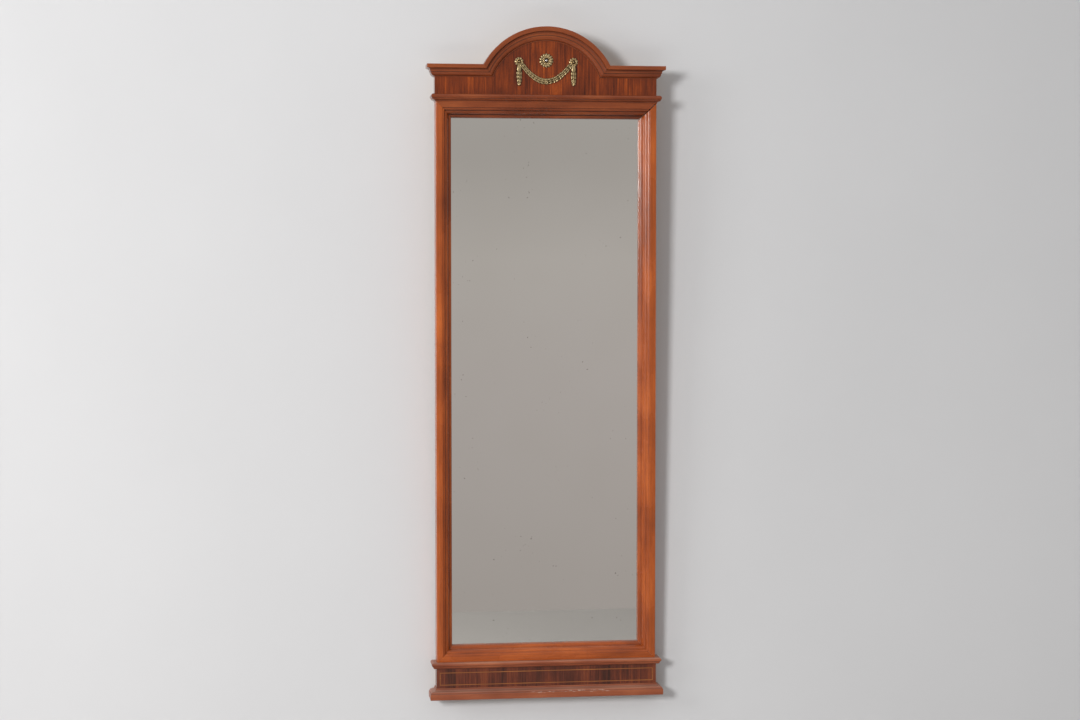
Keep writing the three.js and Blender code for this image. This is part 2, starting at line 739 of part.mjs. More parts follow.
// The line in which wing and arch meet, as a point and a direction in (x, height), moved sideways by "shift".
function archMitre(shift) {
  const inner = new THREE.Vector2(ARCH_INNER_HALF_CHORD, CORNICE_BOTTOM);
  const outer = new THREE.Vector2(ARCH_HALF_CHORD, WING_TOP);
  const along = outer.clone().sub(inner).normalize();
  inner.x += shift / along.y;
  return { inner, along };
}

function corniceWingRight(frontRun) {
  const { inner, along } = archMitre(MITRE_GAP / 2);
  const below = inner.clone().addScaledVector(along, -CORNICE_HEIGHT);
  const above = inner.clone().addScaledVector(along, 3 * CORNICE_HEIGHT);
  const far = CREST_WIDTH;
  const region = [[below.x, below.y], [far, below.y], [far, above.y], [above.x, above.y]];
  return common(frontRun, slab(region, 0, FRIEZE_DEPTH + CORNICE_REACH + OVERCUT));
}

function corniceArch() {
  const stretch = ARCH_CORNICE_WIDTH / CORNICE_HEIGHT;
  const profile = corniceProfile().map(([out, up]) => [ARCH_INNER_RADIUS + up * stretch, FRIEZE_DEPTH + out]);
  const closed = [
    [ARCH_INNER_RADIUS, FRIEZE_DEPTH],
    ...profile,
    [ARCH_RADIUS, FRIEZE_DEPTH],
    [ARCH_INNER_RADIUS, FRIEZE_DEPTH],
  ];
  const ring = turned(closed, 0, 0, ARCH_CENTRE, ARCH_SEGMENTS);
  const { inner, along } = archMitre(-MITRE_GAP / 2);
  const below = inner.clone().addScaledVector(along, -ARCH_CORNICE_WIDTH);
  const above = inner.clone().addScaledVector(along, 2 * ARCH_CORNICE_WIDTH);
  const crown = ARCH_CENTRE + ARCH_RADIUS + OVERCUT;
  const region = [
    [-below.x, below.y],
    [below.x, below.y],
    [above.x, above.y],
    [above.x, crown],
    [-above.x, crown],
    [-above.x, above.y],
  ];
  return common(ring, slab(region, 0, FRIEZE_DEPTH + CORNICE_REACH + OVERCUT));
}

// ---------------------------------------------------------------- plinth

// The four inlaid lines as [left, right, low, high], each widened by "room".
function stringLines(room) {
  const x = PLINTH_WIDTH / 2 - STRING_SIDE_INSET;
  const half = STRING_WIDTH / 2;
  const lines = {
    stringing_top: [-x - half, x + half, STRING_TOP - half, STRING_TOP + half],
    stringing_bottom: [-x - half, x + half, STRING_BOTTOM - half, STRING_BOTTOM + half],
    stringing_left: [-x - half, -x + half, STRING_BOTTOM + half, STRING_TOP - half],
    stringing_right: [x - half, x + half, STRING_BOTTOM + half, STRING_TOP - half],
  };
  return Object.entries(lines).map(([name, [left, right, low, high]]) => {
    const front = PLINTH_DEPTH + (room > 0 ? OVERCUT : 0);
    const back = PLINTH_DEPTH - STRING_THICKNESS;
    return [name, block(left - room, right + room, back, front, low - room, high + room)];
  });
}

function plinthBoard() {
  const half = PLINTH_WIDTH / 2;
  const board = block(-half, half, CARCASS_RECESS, PLINTH_DEPTH - VENEER, 0, PLINTH_HEIGHT);
  return cut(board, [...dowelHoles(FRAME_BOTTOM), ...screwHoles(PLINTH_SCREWS)]);
}

function plinthVeneer() {
  const half = PLINTH_WIDTH / 2;
  const sheet = block(-half, half, PLINTH_DEPTH - VENEER, PLINTH_DEPTH, 0, PLINTH_HEIGHT);
  return cut(sheet, stringLines(INLAY_GAP).map(([, groove]) => groove));
}

// ---------------------------------------------------------------- brass

// A scalloped rosette: petals round a sunk plain eye, in which the head of the pin lies.
function rosette(x, height, radius, petals, rise, pinHead) {
  const perPetal = 4;
  const eyeRadius = pinHead + EYE_ROOM;
  const lip = [eyeRadius - EYE_LIP / 2, eyeRadius + EYE_LIP / 2];
  const rings = [...lip, radius * 0.42, radius * 0.64, radius * 0.85, radius];
  const heights = [EYE_SHARE - 0.05, 0.72, 0.86, 1, 0.8, 0.35];
  const grid = [];
  for (let i = 0; i < petals * perPetal; i += 1) {
    const angle = (2 * Math.PI * i) / (petals * perPetal);
    const crown = Math.abs(Math.cos((petals * angle) / 2));
    const row = rings.map((ring, j) => {
      const edge = j === rings.length - 1 ? 1 - SCALLOP * (1 - crown) : 1;
      const fluted = j < 2 ? 1 : 1 - FLUTE * (1 - crown);
      const r = ring * edge;
      const depth = FRIEZE_DEPTH + rise * heights[j] * fluted;
      return [x + r * Math.cos(angle), height + r * Math.sin(angle), depth];
    });
    grid.push(row);
  }
  const eye = [[0, 0], [eyeRadius, 0], [eyeRadius, rise * EYE_SHARE], [0, rise * EYE_SHARE]];
  return join([relief(grid, FRIEZE_DEPTH, true), turned(eye, x, FRIEZE_DEPTH, height, 24)]);
}

// A leafy strip along a centre line: each tier swells and overlaps the next, as leaves or husks do.
function leafStrip(centre, tiers, halfWidth, rise) {
  const perTier = 4;
  const across = [-1, -0.72, -0.36, 0, 0.36, 0.72, 1];
  const grid = [];
  const steps = tiers * perTier;
  for (let i = 0; i <= steps; i += 1) {
    const t = i / steps;
    const { point, normal } = centre(t);
    const phase = (i % perTier) / perTier;
    const swell = 0.82 + 0.18 * Math.sin(Math.PI * Math.min(1, phase * 1.25));
    const width = halfWidth(t) * swell;
    grid.push(across.map((u) => {
      const dome = Math.sqrt(1 - 0.82 * u * u);
      const leaf = 0.74 + 0.26 * Math.sin(Math.PI * phase + 0.9 * Math.abs(u));
      return [
        point.x + normal.x * u * width,
        point.y + normal.y * u * width,
        FRIEZE_DEPTH + rise * dome * leaf,
      ];
    }));
  }
  return relief(grid, FRIEZE_DEPTH, false);
}

// The garland hangs in a parabola between the small rosettes.
function garland() {
  const top = FRAME_TOP + SWAG_LEVEL - SWAG_ROSETTE_RADIUS * 0.55;
  const half = SWAG_HALF_SPAN - SWAG_ROSETTE_RADIUS * 0.7;
  const sag = SWAG_SAG - SWAG_ROSETTE_RADIUS * 0.55;
  const centre = (t) => {
    const s = 2 * t - 1;
    const slope = new THREE.Vector2(half, 2 * sag * s).normalize();
    return {
      point: new THREE.Vector2(half * s, top - sag + sag * s * s),
      normal: new THREE.Vector2(slope.y, -slope.x),
    };
  };
  const halfWidth = (t) => (GARLAND_WIDTH / 2) * (0.78 + 0.22 * Math.sin(Math.PI * t));
  return leafStrip(centre, GARLAND_LEAVES, halfWidth, GARLAND_HEIGHT);
}

function drop(side) {
  const top = FRAME_TOP + SWAG_LEVEL - SWAG_ROSETTE_RADIUS * 0.8;
  const centre = (t) => ({
    point: new THREE.Vector2(side * SWAG_HALF_SPAN, top - DROP_LENGTH * t),
    normal: new THREE.Vector2(-1, 0),
  });
  const halfWidth = (t) => {
    const belly = Math.sin(Math.PI * Math.min(1, t * 1.3));
    return (DROP_WIDTH / 2) * (0.72 + 0.28 * belly - 0.34 * t ** 6);
  };
  return leafStrip(centre, DROP_TIERS, halfWidth, DROP_HEIGHT);
}

function rosetteMount() {
  const level = FRAME_TOP + ROSETTE_LEVEL;
  const flower = rosette(0, level, ROSETTE_RADIUS, ROSETTE_PETALS, ROSETTE_HEIGHT, ROSETTE_PIN_HEAD);
  return cut(flower, ornamentPins(SLIP_FIT));
}

function swagMount() {
  const level = FRAME_TOP + SWAG_LEVEL;
  const flower = (x) => rosette(
    x,
    level,
    SWAG_ROSETTE_RADIUS,
    SWAG_ROSETTE_PETALS,
    GARLAND_HEIGHT,
    SWAG_PIN_HEAD,
  );
  const parts = [garland()];
  SIDES.forEach(([side]) => parts.push(drop(side), flower(side * SWAG_HALF_SPAN)));
  return cut(join(parts), ornamentPins(SLIP_FIT));
}

// A round-headed pin through the eye of a mount that rises by "rise".
function brassPin(x, height, rise, headRadius, room) {
  const eye = rise * EYE_SHARE;
  const shank = PIN_RADIUS + room;
  const outline = [[0, eye - PIN_LENGTH - room], [shank, eye - PIN_LENGTH + PIN_RADIUS], [shank, eye]];
  if (room > 0) {
    outline.push([shank, rise + OVERCUT], [0, rise + OVERCUT]);
  } else {
    outline.push(...arc(0, eye, headRadius, headRadius * 0.8, 0, 90, 4));
  }
  return turned(outline, x, FRIEZE_DEPTH, height, 16);
}

// ---------------------------------------------------------------- hanger

const HINGE_HEIGHT = FRAME_TOP + HANGER_LEVEL;
const LOOP_INNER = RING_WIRE + HINGE_GAP;
const LOOP_OUTER = LOOP_INNER + STRAP_THICKNESS;
const HINGE_DEPTH = CARCASS_RECESS - LOOP_OUTER;

function hangerScrewLevels() {
  const middle = HINGE_HEIGHT - STRAP_LENGTH / 2;
  return [middle + STRAP_SCREW_SPACING / 2, middle - STRAP_SCREW_SPACING / 2];
}

// Pan-headed screws that hold the strap; their heads lie behind it.
function hangerScrews(room) {
  const under = CARCASS_RECESS - STRAP_THICKNESS;
  return hangerScrewLevels().map((height) => {
    const shank = HANGER_SCREW_RADIUS + room;
    const tip = HANGER_SCREW_LENGTH + room;
    const head = 2 * HANGER_SCREW_RADIUS;
    const outline = [[0, -HANGER_HEAD_HEIGHT], [head * 0.7, -HANGER_HEAD_HEIGHT], [head, 0]];
    const shankOutline = [[shank, 0], [shank, tip - 2 * HANGER_SCREW_RADIUS], [0, tip]];
    if (room > 0) {
      return turned([[0, -OVERCUT], [shank, -OVERCUT], ...shankOutline], 0, under, height, 12);
    }
    return turned([...outline, ...shankOutline], 0, under, height, 12);
  });
}

// A steel strap folded round the ring's bar: a loop above, and a flat leg screwed to the board.
function hangerStrap() {
  const half = STRAP_WIDTH / 2;
  const loop = new THREE.Shape();
  loop.absarc(0, 0, LOOP_OUTER, 0, 2 * Math.PI, false);
  const eye = new THREE.Path();
  eye.absarc(0, 0, LOOP_INNER, 0, 2 * Math.PI, true);
  loop.holes.push(eye);
  const options = { depth: STRAP_WIDTH, bevelEnabled: false, curveSegments: 10 };
  const tube = new THREE.ExtrudeGeometry(loop, options);
  tube.rotateY(Math.PI / 2);
  tube.translate(-half, -HINGE_DEPTH, HINGE_HEIGHT);
  const back = CARCASS_RECESS - STRAP_THICKNESS;
  const leg = block(-half, half, back, CARCASS_RECESS, HINGE_HEIGHT - STRAP_LENGTH, HINGE_HEIGHT);
  return cut(join([tube, leg]), hangerScrews(SLIP_FIT));
}

// The D-ring: a straight bar that turns in the strap, two short legs and a half circle.
function hangerRing() {
  const half = RING_HALF_WIDTH;
  const corner = 2 * RING_WIRE;
  const path = new THREE.CurvePath();
  const at = (x, z) => new THREE.Vector3(x, 0, z);
  const rounded = (a, b, c) => path.add(new THREE.QuadraticBezierCurve3(a, b, c));
  path.add(new THREE.LineCurve3(at(0, 0), at(half - corner, 0)));
  rounded(at(half - corner, 0), at(half, 0), at(half, -corner));
  path.add(new THREE.LineCurve3(at(half, -corner), at(half, -RING_DROP)));
  const steps = 12;
  for (let i = 0; i < steps; i += 1) {
    const a = (-Math.PI * i) / steps;
    const b = (-Math.PI * (i + 1)) / steps;
    path.add(new THREE.LineCurve3(
      at(half * Math.cos(a), half * Math.sin(a) - RING_DROP),
      at(half * Math.cos(b), half * Math.sin(b) - RING_DROP),
    ));
  }
  path.add(new THREE.LineCurve3(at(-half, -RING_DROP), at(-half, -corner)));
  rounded(at(-half, -corner), at(-half, 0), at(corner - half, 0));
  path.add(new THREE.LineCurve3(at(corner - half, 0), at(0, 0)));
  return wireAlong(path, RING_WIRE, 56, 8);
}

// A closed round wire along a closed flat path in the plane y = 0.
function wireAlong(path, radius, steps, sides) {
  const points = path.getSpacedPoints(steps).slice(0, steps);
  const positions = [];
  const index = [];
  points.forEach((point, i) => {
    const before = points[(i + steps - 1) % steps];
    const after = points[(i + 1) % steps];
    const along = after.clone().sub(before).normalize();
    const side = new THREE.Vector3().crossVectors(along, FORWARD);
    for (let j = 0; j < sides; j += 1) {
      const angle = (2 * Math.PI * j) / sides;
      const offset = side.clone().multiplyScalar(Math.cos(angle) * radius);
      offset.addScaledVector(FORWARD, Math.sin(angle) * radius);
      positions.push(point.x + offset.x, point.y + offset.y, point.z + offset.z);
    }
  });
  for (let i = 0; i < steps; i += 1) {
    const next = ((i + 1) % steps) * sides;
    for (let j = 0; j < sides; j += 1) {
      const k = (j + 1) % sides;
      const [a, b, c, d] = [i * sides + j, i * sides + k, next + k, next + j];
      index.push(a, c, b, a, d, c);
    }
  }
  const geometry = new THREE.BufferGeometry();
  geometry.setAttribute('position', new THREE.BufferAttribute(new Float32Array(positions), 3));
  geometry.setIndex(index);
  return geometry;
}

// ---------------------------------------------------------------- assembly

const mirror = new THREE.Group();

function group(height = 0) {
  const holder = new THREE.Group();
  holder.position.z = height;
  mirror.add(holder);
  return holder;
}

function add(holder, name, geometry, { colour, roughness, metalness }) {
  const mesh = new THREE.Mesh(geometry, material(colour, roughness, metalness));
  mesh.name = name;
  holder.add(mesh);
  return mesh;
}

function addWrapped(holder, name, pieces, finish) {
  add(holder, `${name}_front`, pieces.front, finish);
  add(holder, `${name}_return_left`, pieces.left, finish);
  add(holder, `${name}_return_right`, pieces.right, finish);
}

// Dowels, battens and screws that hold a board to the rail at the height "joint".
function addJoinery(holder, name, joint, span, screws) {
  SIDES.forEach(([side, sideName]) => {
    add(holder, `${name}_dowel_${sideName}`, dowel(side, joint, 0), PINE);
    add(holder, `${name}_batten_${sideName}`, screwedBatten(side, span, screws), PINE);
  });
  screws.forEach(({ name: place, x, height }) => {
    add(holder, `${name}_screw_${place}`, woodScrew(x, 0, height, 0), STEEL);
  });
}

function buildFrame() {
  const frame = group();
  add(frame, 'stile_left', stileLeft(), MAHOGANY);
  add(frame, 'stile_right', stileRight(), MAHOGANY);
  add(frame, 'top_rail', topRail(), MAHOGANY);
  add(frame, 'bottom_rail', bottomRail(), MAHOGANY);
  CORNERS.forEach(([x, z]) => {
    const corner = `${z > 0 ? 'top' : 'bottom'}_${x > 0 ? 'right' : 'left'}`;
    add(frame, `mitre_tongue_${corner}`, tongue(x, z, 0), PINE);
  });
  add(frame, 'mirror_plate', mirrorPlate(), GLASS);
  SIDES.forEach(([side, sideName]) => add(frame, `plate_slip_${sideName}`, plateSlip(side), PINE));
  add(frame, 'back_board', backBoard(), PINE);
}

function buildCrest() {
  const crest = group();
  add(crest, 'crest_board', crestBoard(), PINE);
  add(crest, 'frieze_veneer', friezeVeneer(), FRIEZE_VENEER);
  const run = cornice();
  const wing = corniceWingRight(run.front);
  add(crest, 'cornice_arch', corniceArch(), MAHOGANY);
  add(crest, 'cornice_wing_left', mirrored(wing), MAHOGANY);
  add(crest, 'cornice_wing_right', wing, MAHOGANY);
  add(crest, 'cornice_return_left', run.left, MAHOGANY);
  add(crest, 'cornice_return_right', run.right, MAHOGANY);
  addWrapped(crest, 'necking', necking(), MAHOGANY);
  addJoinery(crest, 'crest', FRAME_TOP, CREST_BATTEN, CREST_SCREWS);
}

function buildPlinth() {
  const plinth = group();
  add(plinth, 'plinth_board', plinthBoard(), PINE);
  add(plinth, 'plinth_veneer', plinthVeneer(), PLINTH_VENEER);
  stringLines(0).forEach(([name, line]) => add(plinth, name, line, STRINGING));
  addWrapped(plinth, 'bead', bead(), MAHOGANY);
  addWrapped(plinth, 'base', base(), MAHOGANY);
  addJoinery(plinth, 'plinth', FRAME_BOTTOM, PLINTH_BATTEN, PLINTH_SCREWS);
}

function buildBrass() {
  const brass = group();
  const [rosettePin, swagPinLeft, swagPinRight] = ornamentPins(0);
  add(brass, 'rosette_mount', rosetteMount(), BRASS);
  add(brass, 'rosette_pin', rosettePin, STEEL);
  add(brass, 'swag_mount', swagMount(), BRASS);
  add(brass, 'swag_pin_left', swagPinLeft, BRASS);
  add(brass, 'swag_pin_right', swagPinRight, BRASS);
}

function buildHanger() {
  const hanger = group();
  add(hanger, 'hanger_strap', hangerStrap(), STEEL);
  const [upperScrew, lowerScrew] = hangerScrews(0);
  add(hanger, 'hanger_screw_upper', upperScrew, STEEL);
  add(hanger, 'hanger_screw_lower', lowerScrew, STEEL);
  const ring = add(hanger, 'hanger_ring', hangerRing(), STEEL);
  ring.position.set(0, -HINGE_DEPTH, HINGE_HEIGHT);
}

buildFrame();
buildCrest();
buildPlinth();
buildBrass();
buildHanger();
mirror.children.forEach((holder) => {
  holder.position.z -= WALL_FACE_HEIGHT;
});

export default mirror;
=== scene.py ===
"""The looks of a mahogany pier mirror with an arched crest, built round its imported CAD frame.

Metres; +Z is up, +X is to the right seen from the front, and the front faces -Y.
"Depth" is the distance in front of the wall, so a depth d lies at y = -d.
"""

import math
import random

import bmesh
import bpy
from mathutils import Matrix, Vector

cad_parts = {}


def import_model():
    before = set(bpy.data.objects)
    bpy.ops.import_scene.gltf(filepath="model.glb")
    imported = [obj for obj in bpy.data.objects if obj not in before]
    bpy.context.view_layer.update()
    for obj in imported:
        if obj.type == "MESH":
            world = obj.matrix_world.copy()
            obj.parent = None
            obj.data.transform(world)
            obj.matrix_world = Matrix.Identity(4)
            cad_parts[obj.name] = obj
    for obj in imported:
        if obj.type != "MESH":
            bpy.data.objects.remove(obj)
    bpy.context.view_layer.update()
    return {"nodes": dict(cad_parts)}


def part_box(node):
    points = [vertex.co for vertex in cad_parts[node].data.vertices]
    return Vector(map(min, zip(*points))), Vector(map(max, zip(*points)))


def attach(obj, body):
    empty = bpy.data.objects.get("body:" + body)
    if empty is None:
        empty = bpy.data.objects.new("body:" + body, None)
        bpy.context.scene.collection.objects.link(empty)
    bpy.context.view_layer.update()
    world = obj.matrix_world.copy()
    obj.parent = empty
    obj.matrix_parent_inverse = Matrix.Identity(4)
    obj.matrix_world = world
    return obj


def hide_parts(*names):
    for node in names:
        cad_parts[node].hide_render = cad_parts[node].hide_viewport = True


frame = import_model()
random.seed(7)

MM = 0.001


# ---------------- places read from the frame


def low(node):
    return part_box(node)[0]


def high(node):
    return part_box(node)[1]


def centre(node):
    return (low(node) + high(node)) / 2


MITRE_GAP = 0.3 * MM
MITRE_PULL = MITRE_GAP / math.sqrt(2)  # what it takes off each piece, along its length
OPEN_MITRE_GAP = 1.6 * MM

FRAME_HALF = high("stile_right").x
FRAME_DEPTH = -low("top_rail").y
FRAME_TOP = high("top_rail").z
FRAME_BOTTOM = low("bottom_rail").z
MEMBER_WIDTH = FRAME_TOP - low("top_rail").z
FOOT = low("plinth_board").z

CREST_HALF = high("frieze_veneer").x
FRIEZE_DEPTH = -low("frieze_veneer").y
CARCASS_RECESS = -high("crest_board").y
CORNICE_BOTTOM = low("cornice_return_right").z
WING_TOP = high("cornice_return_right").z
CORNICE_HEIGHT = WING_TOP - CORNICE_BOTTOM
CORNICE_REACH = high("cornice_return_right").x - CREST_HALF

PLINTH_HALF = high("plinth_veneer").x
PLINTH_DEPTH = -low("plinth_veneer").y
BASE_HEIGHT = high("base_return_right").z - FOOT
BASE_REACH = high("base_return_right").x - PLINTH_HALF

ARCH_HALF_CHORD = high("cornice_arch").x + MITRE_GAP / 2
ARCH_RISE = high("cornice_arch").z - WING_TOP
ARCH_RADIUS = (ARCH_HALF_CHORD**2 + ARCH_RISE**2) / (2 * ARCH_RISE)
ARCH_CENTRE = WING_TOP + ARCH_RISE - ARCH_RADIUS
ARCH_WIDTH = 29 * MM  # the bent moulding is a little wider than the wings'
ARCH_INNER_RADIUS = ARCH_RADIUS - ARCH_WIDTH
ARCH_INNER_HALF_CHORD = math.sqrt(ARCH_INNER_RADIUS**2 - (CORNICE_BOTTOM - ARCH_CENTRE) ** 2)

# the frame member's section
BAND_WIDTH = 13.4 * MM
LIP_DEPTH = 16 * MM
REBATE_DEPTH = 9.5 * MM
REBATE_WIDTH = 7 * MM
BACK_EDGE = MEMBER_WIDTH - REBATE_WIDTH
UPPER_ROUND = ((0.02, 0.05), (0.26, 0.21))
MIDDLE_ROUND = ((0.31, 0.28), (0.65, 0.74))
INNER_ROUND = ((0.72, 0.79), (0.97, 0.96))
PAST_MITRE = MEMBER_WIDTH * 1.1  # from a member's end to its plain length
BATTEN_HOUSING = FRAME_TOP - low("crest_batten_left").z
HOUSING_ROOM = 0.3 * MM

WORN = 0.7 * MM  # radius that wear has left on an arris
CRISP = 0.25 * MM  # radius of an edge out of reach
WELD = 0.002 * MM  # points closer than this become one
SIDES = ((-1, "left"), (1, "right"))


# ---------------- sections


def arc(centre_a, centre_b, radius_a, radius_b, start, end, steps):
    """Points of an elliptical arc; the angles are in degrees."""
    points = []
    for i in range(steps + 1):
        angle = math.radians(start + (end - start) * i / steps)
        points.append((centre_a + radius_a * math.cos(angle), centre_b + radius_b * math.sin(angle)))
    return points


def rounded(corners, radius, steps=4):
    """A closed outline with its sharp corners rounded; corners closer together than a radius stay."""
    points = []
    count = len(corners)
    for i, corner in enumerate(corners):
        here = Vector(corner)
        before = Vector(corners[i - 1]) - here
        after = Vector(corners[(i + 1) % count]) - here
        turn = math.pi - before.angle(after, math.pi)
        reach = min(radius, before.length * 0.45, after.length * 0.45)
        if turn < math.radians(28) or reach < 0.02 * MM:
            points.append(tuple(here))
            continue
        start = here + before.normalized() * reach
        end = here + after.normalized() * reach
        for k in range(steps + 1):
            t = k / steps
            point = start * (1 - t) ** 2 + here * (2 * t * (1 - t)) + end * t**2
            points.append(tuple(point))
    return points


def member_section():
    """Section of a frame member as (distance in from its outer edge, depth)."""
    fall = FRAME_DEPTH - LIP_DEPTH
    run = MEMBER_WIDTH - BAND_WIDTH

    def place(point):
        return (BAND_WIDTH + run * point[0], FRAME_DEPTH - fall * point[1])

    def swelling(share, steps):
        (start_a, start_d), (end_a, end_d) = share
        curve = arc(start_a, end_d, end_a - start_a, start_d - end_d, 90, 0, steps)
        return [place(point) for point in curve]

    return [
        (0, 0),
        (0, FRAME_DEPTH),
        (BAND_WIDTH, FRAME_DEPTH),
        *swelling(UPPER_ROUND, 10),
        *swelling(MIDDLE_ROUND, 14),
        *swelling(INNER_ROUND, 10),
        (MEMBER_WIDTH, LIP_DEPTH),
        (MEMBER_WIDTH, REBATE_DEPTH),
        (BACK_EDGE, REBATE_DEPTH),
        (BACK_EDGE, 0),
    ]


def cornice_face():
    """The cornice from its toe up, as (distance out from the frieze, height above its foot)."""
    toe = 1.6 * MM
    ovolo = 7.6 * MM
    fillet = 2.6 * MM
    cove = 5.2 * MM
    nose = 0.8 * MM
    toe_reach = CORNICE_REACH * 0.13
    ovolo_reach = CORNICE_REACH * 0.5
    cove_reach = CORNICE_REACH * 0.59
    fascia_reach = CORNICE_REACH * 0.87
    ovolo_top = toe + ovolo
    fillet_top = ovolo_top + fillet
    fascia_foot = fillet_top + cove
    return [
        (toe_reach, 0),
        *arc(toe_reach, ovolo_top, ovolo_reach - toe_reach, ovolo, -90, 0, 12),
        (ovolo_reach, ovolo_top + fillet * 0.4),
        (cove_reach, ovolo_top + fillet * 0.4),
        *arc(fascia_reach, fillet_top, cove_reach - fascia_reach, cove, 0, 90, 10),
        (CORNICE_REACH - nose, fascia_foot),
        (CORNICE_REACH, fascia_foot + nose),
        *arc(CORNICE_REACH - nose, CORNICE_HEIGHT - nose, nose, nose, 0, 90, 5),
    ]


NECKING_LAP = 2.3 * MM
NECKING_HEIGHT = high("necking_front").z - FRAME_TOP + NECKING_LAP
NECKING_REACH = high("necking_return_right").x - FRAME_HALF


def necking_face():
    cove = 4.8 * MM
    nose = 5 * MM
    cove_reach = NECKING_REACH * 0.64
    toe = NECKING_REACH * 0.08
    nose_centre = NECKING_REACH - nose
    return [
        *arc(cove_reach, 0, toe - cove_reach, cove, 0, 90, 10),
        (nose_centre + nose * 0.5, cove),
        *arc(nose_centre, NECKING_HEIGHT - nose, nose, nose, -60, 90, 16),
    ]


BEAD_LAP = 2.2 * MM
BEAD_HEIGHT = high("bead_front").z - low("bead_front").z
BEAD_REACH = high("bead_return_right").x - PLINTH_HALF


def bead_face():
    nose = 4.2 * MM
    quirk = 1 * MM
    nose_level = BEAD_HEIGHT - nose
    lower_top = nose_level - nose * 0.95
    lower_reach = BEAD_REACH * 0.74
    toe = BEAD_REACH * 0.26
    return [
        *arc(toe, lower_top, lower_reach - toe, lower_top, -90, 0, 10),
        (lower_reach - quirk, lower_top),
        *arc(BEAD_REACH - nose, nose_level, nose, nose, -60, 90, 16),
    ]


BASE_FILLET = 12.6 * MM


def base_face():
    nose = 0.8 * MM
    slope_foot = BASE_FILLET + 0.5 * MM
    slope_top = BASE_HEIGHT - 1 * MM
    toe = BASE_REACH * 0.12
    middle = BASE_REACH * 0.48
    shoulder = BASE_REACH * 0.89
    half_way = (slope_top + slope_foot) / 2
    return [
        (BASE_REACH - nose, 0),
        (BASE_REACH, nose),
        *arc(BASE_REACH - nose, BASE_FILLET - nose, nose, nose, 0, 90, 5),
        (shoulder, BASE_FILLET),
        *arc(middle, slope_foot, shoulder - middle, half_way - slope_foot, 0, 90, 8),
        *arc(middle, slope_top, toe - middle, half_way - slope_top, 90, 0, 8)[1:],
        (toe, BASE_HEIGHT),
    ]


# ---------------- meshes


def outline_area(points):
    """Area in a closed outline, above 0 if it runs counterclockwise."""
    sides = zip(points, [*points[1:], points[0]])
    return sum(a * d - b * c for (a, b), (c, d) in sides) / 2


def standing_out(section, window=1.8 * MM):
    """For each point of a closed section, how far it stands out (to 1) or lies in a groove (to -1)."""
    count = len(section)
    points = [Vector(point) for point in section]
    side = 1 if outline_area(section) > 0 else -1

    def walk(start, step):
        """The place one window further along the outline."""
        left = window
        here = points[start]
        for i in range(1, count):
            following = points[(start + i * step) % count]
            length = (following - here).length
            if length >= left:
                return here + (following - here) * (left / length)
            left -= length
            here = following
        return here

    values = []
    for i in range(count):
        ahead = walk(i, 1)
        behind = walk(i, -1)
        along = ahead - behind
        outward = Vector((along.y, -along.x)).normalized() * side
        bulge = (points[i] - (ahead + behind) / 2).dot(outward) / window
        values.append(max(-1, min(1, bulge * 1.6)))
    return values


def finished(name, bm, material, replaced=(), smooth_below=32, body="mirror"):
    """Turns a bmesh into a piece that rides on a CAD body and stands for its nodes."""
    bmesh.ops.recalc_face_normals(bm, faces=bm.faces)
    mesh = bpy.data.meshes.new(name)
    bm.to_mesh(mesh)
    bm.free()
    mesh.shade_smooth()
    mesh.set_sharp_from_angle(angle=math.radians(smooth_below))
    mesh.materials.append(material)
    piece = bpy.data.objects.new(name, mesh)
    bpy.context.scene.collection.objects.link(piece)
    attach(piece, body)
    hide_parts(*replaced)


def around(count, offset=0.0):
    """Evenly spaced directions round a circle, as (cosine, sine)."""
    angles = [2 * math.pi * (i + offset) / count for i in range(count)]
    return [(math.cos(angle), math.sin(angle)) for angle in angles]


def skin(bm, loops, closed=False, capped=False):
    """Joins each loop of vertices to the next by faces; a loop may be a single vertex.

    If closed, the last loop is joined to the first; if capped, both ends get a face.
    """
    for first, second in zip(loops, loops[1:] + (loops[:1] if closed else [])):
        sides = max(len(first), len(second))
        for i in range(sides):
            j = (i + 1) % sides
            corners = [first[i % len(first)], first[j % len(first)]]
            corners += [second[j % len(second)], second[i % len(second)]]
            bm.faces.new(dict.fromkeys(corners))
    if capped:
        bm.faces.new(loops[0])
        bm.faces.new(loops[-1])


def swept(section, place, start, end, between):
    """A bar of one section. "start" and "end" give how far along it each point (a, b) of the section
    begins and stops; "between" lists (distance along, section) of the cross-sections between them."""
    bm = bmesh.new()
    grain = bm.verts.layers.float_vector.new("grain")
    # how far each point stands out: it pales the worn arrises and puts painted shade in the quirks
    wear_and_shade = bm.verts.layers.float.new("wear_and_shade")
    grain_shift = random.uniform(0, 40)

    def ring(points, along_of):
        made = []
        for (a, b), value in zip(points, standing_out(points)):
            along = along_of(a, b)
            vert = bm.verts.new(place(along, a, b))
            vert[grain] = (along + grain_shift, a, b)
            vert[wear_and_shade] = value
            made.append(vert)
        return made

    rings = [ring(section, start)]
    for along, points in between:
        rings.append(ring(points, lambda a, b, fixed=along: fixed))
    rings.append(ring(section, end))
    skin(bm, rings, capped=True)
    bmesh.ops.remove_doubles(bm, verts=bm.verts, dist=WELD)
    bmesh.ops.dissolve_degenerate(bm, edges=bm.edges, dist=WELD)
    return bm


def evenly(section, first, last, spacing):
    """Cross-sections of one section between two distances along a bar."""
    steps = max(2, round((last - first) / spacing))
    return [(first + (last - first) * i / steps, section) for i in range(steps + 1)]


# ---------------- materials


def colour(red, green, blue):
    """A colour given as it looks on screen, from 0 to 255, as Blender keeps it."""

    def linear(value):
        share = value / 255
        return share / 12.92 if share <= 0.04045 else ((share + 0.055) / 1.055) ** 2.4

    return (linear(red), linear(green), linear(blue), 1)


def darkened(tone, share):
    return (*[share * value for value in tone[:3]], 1)


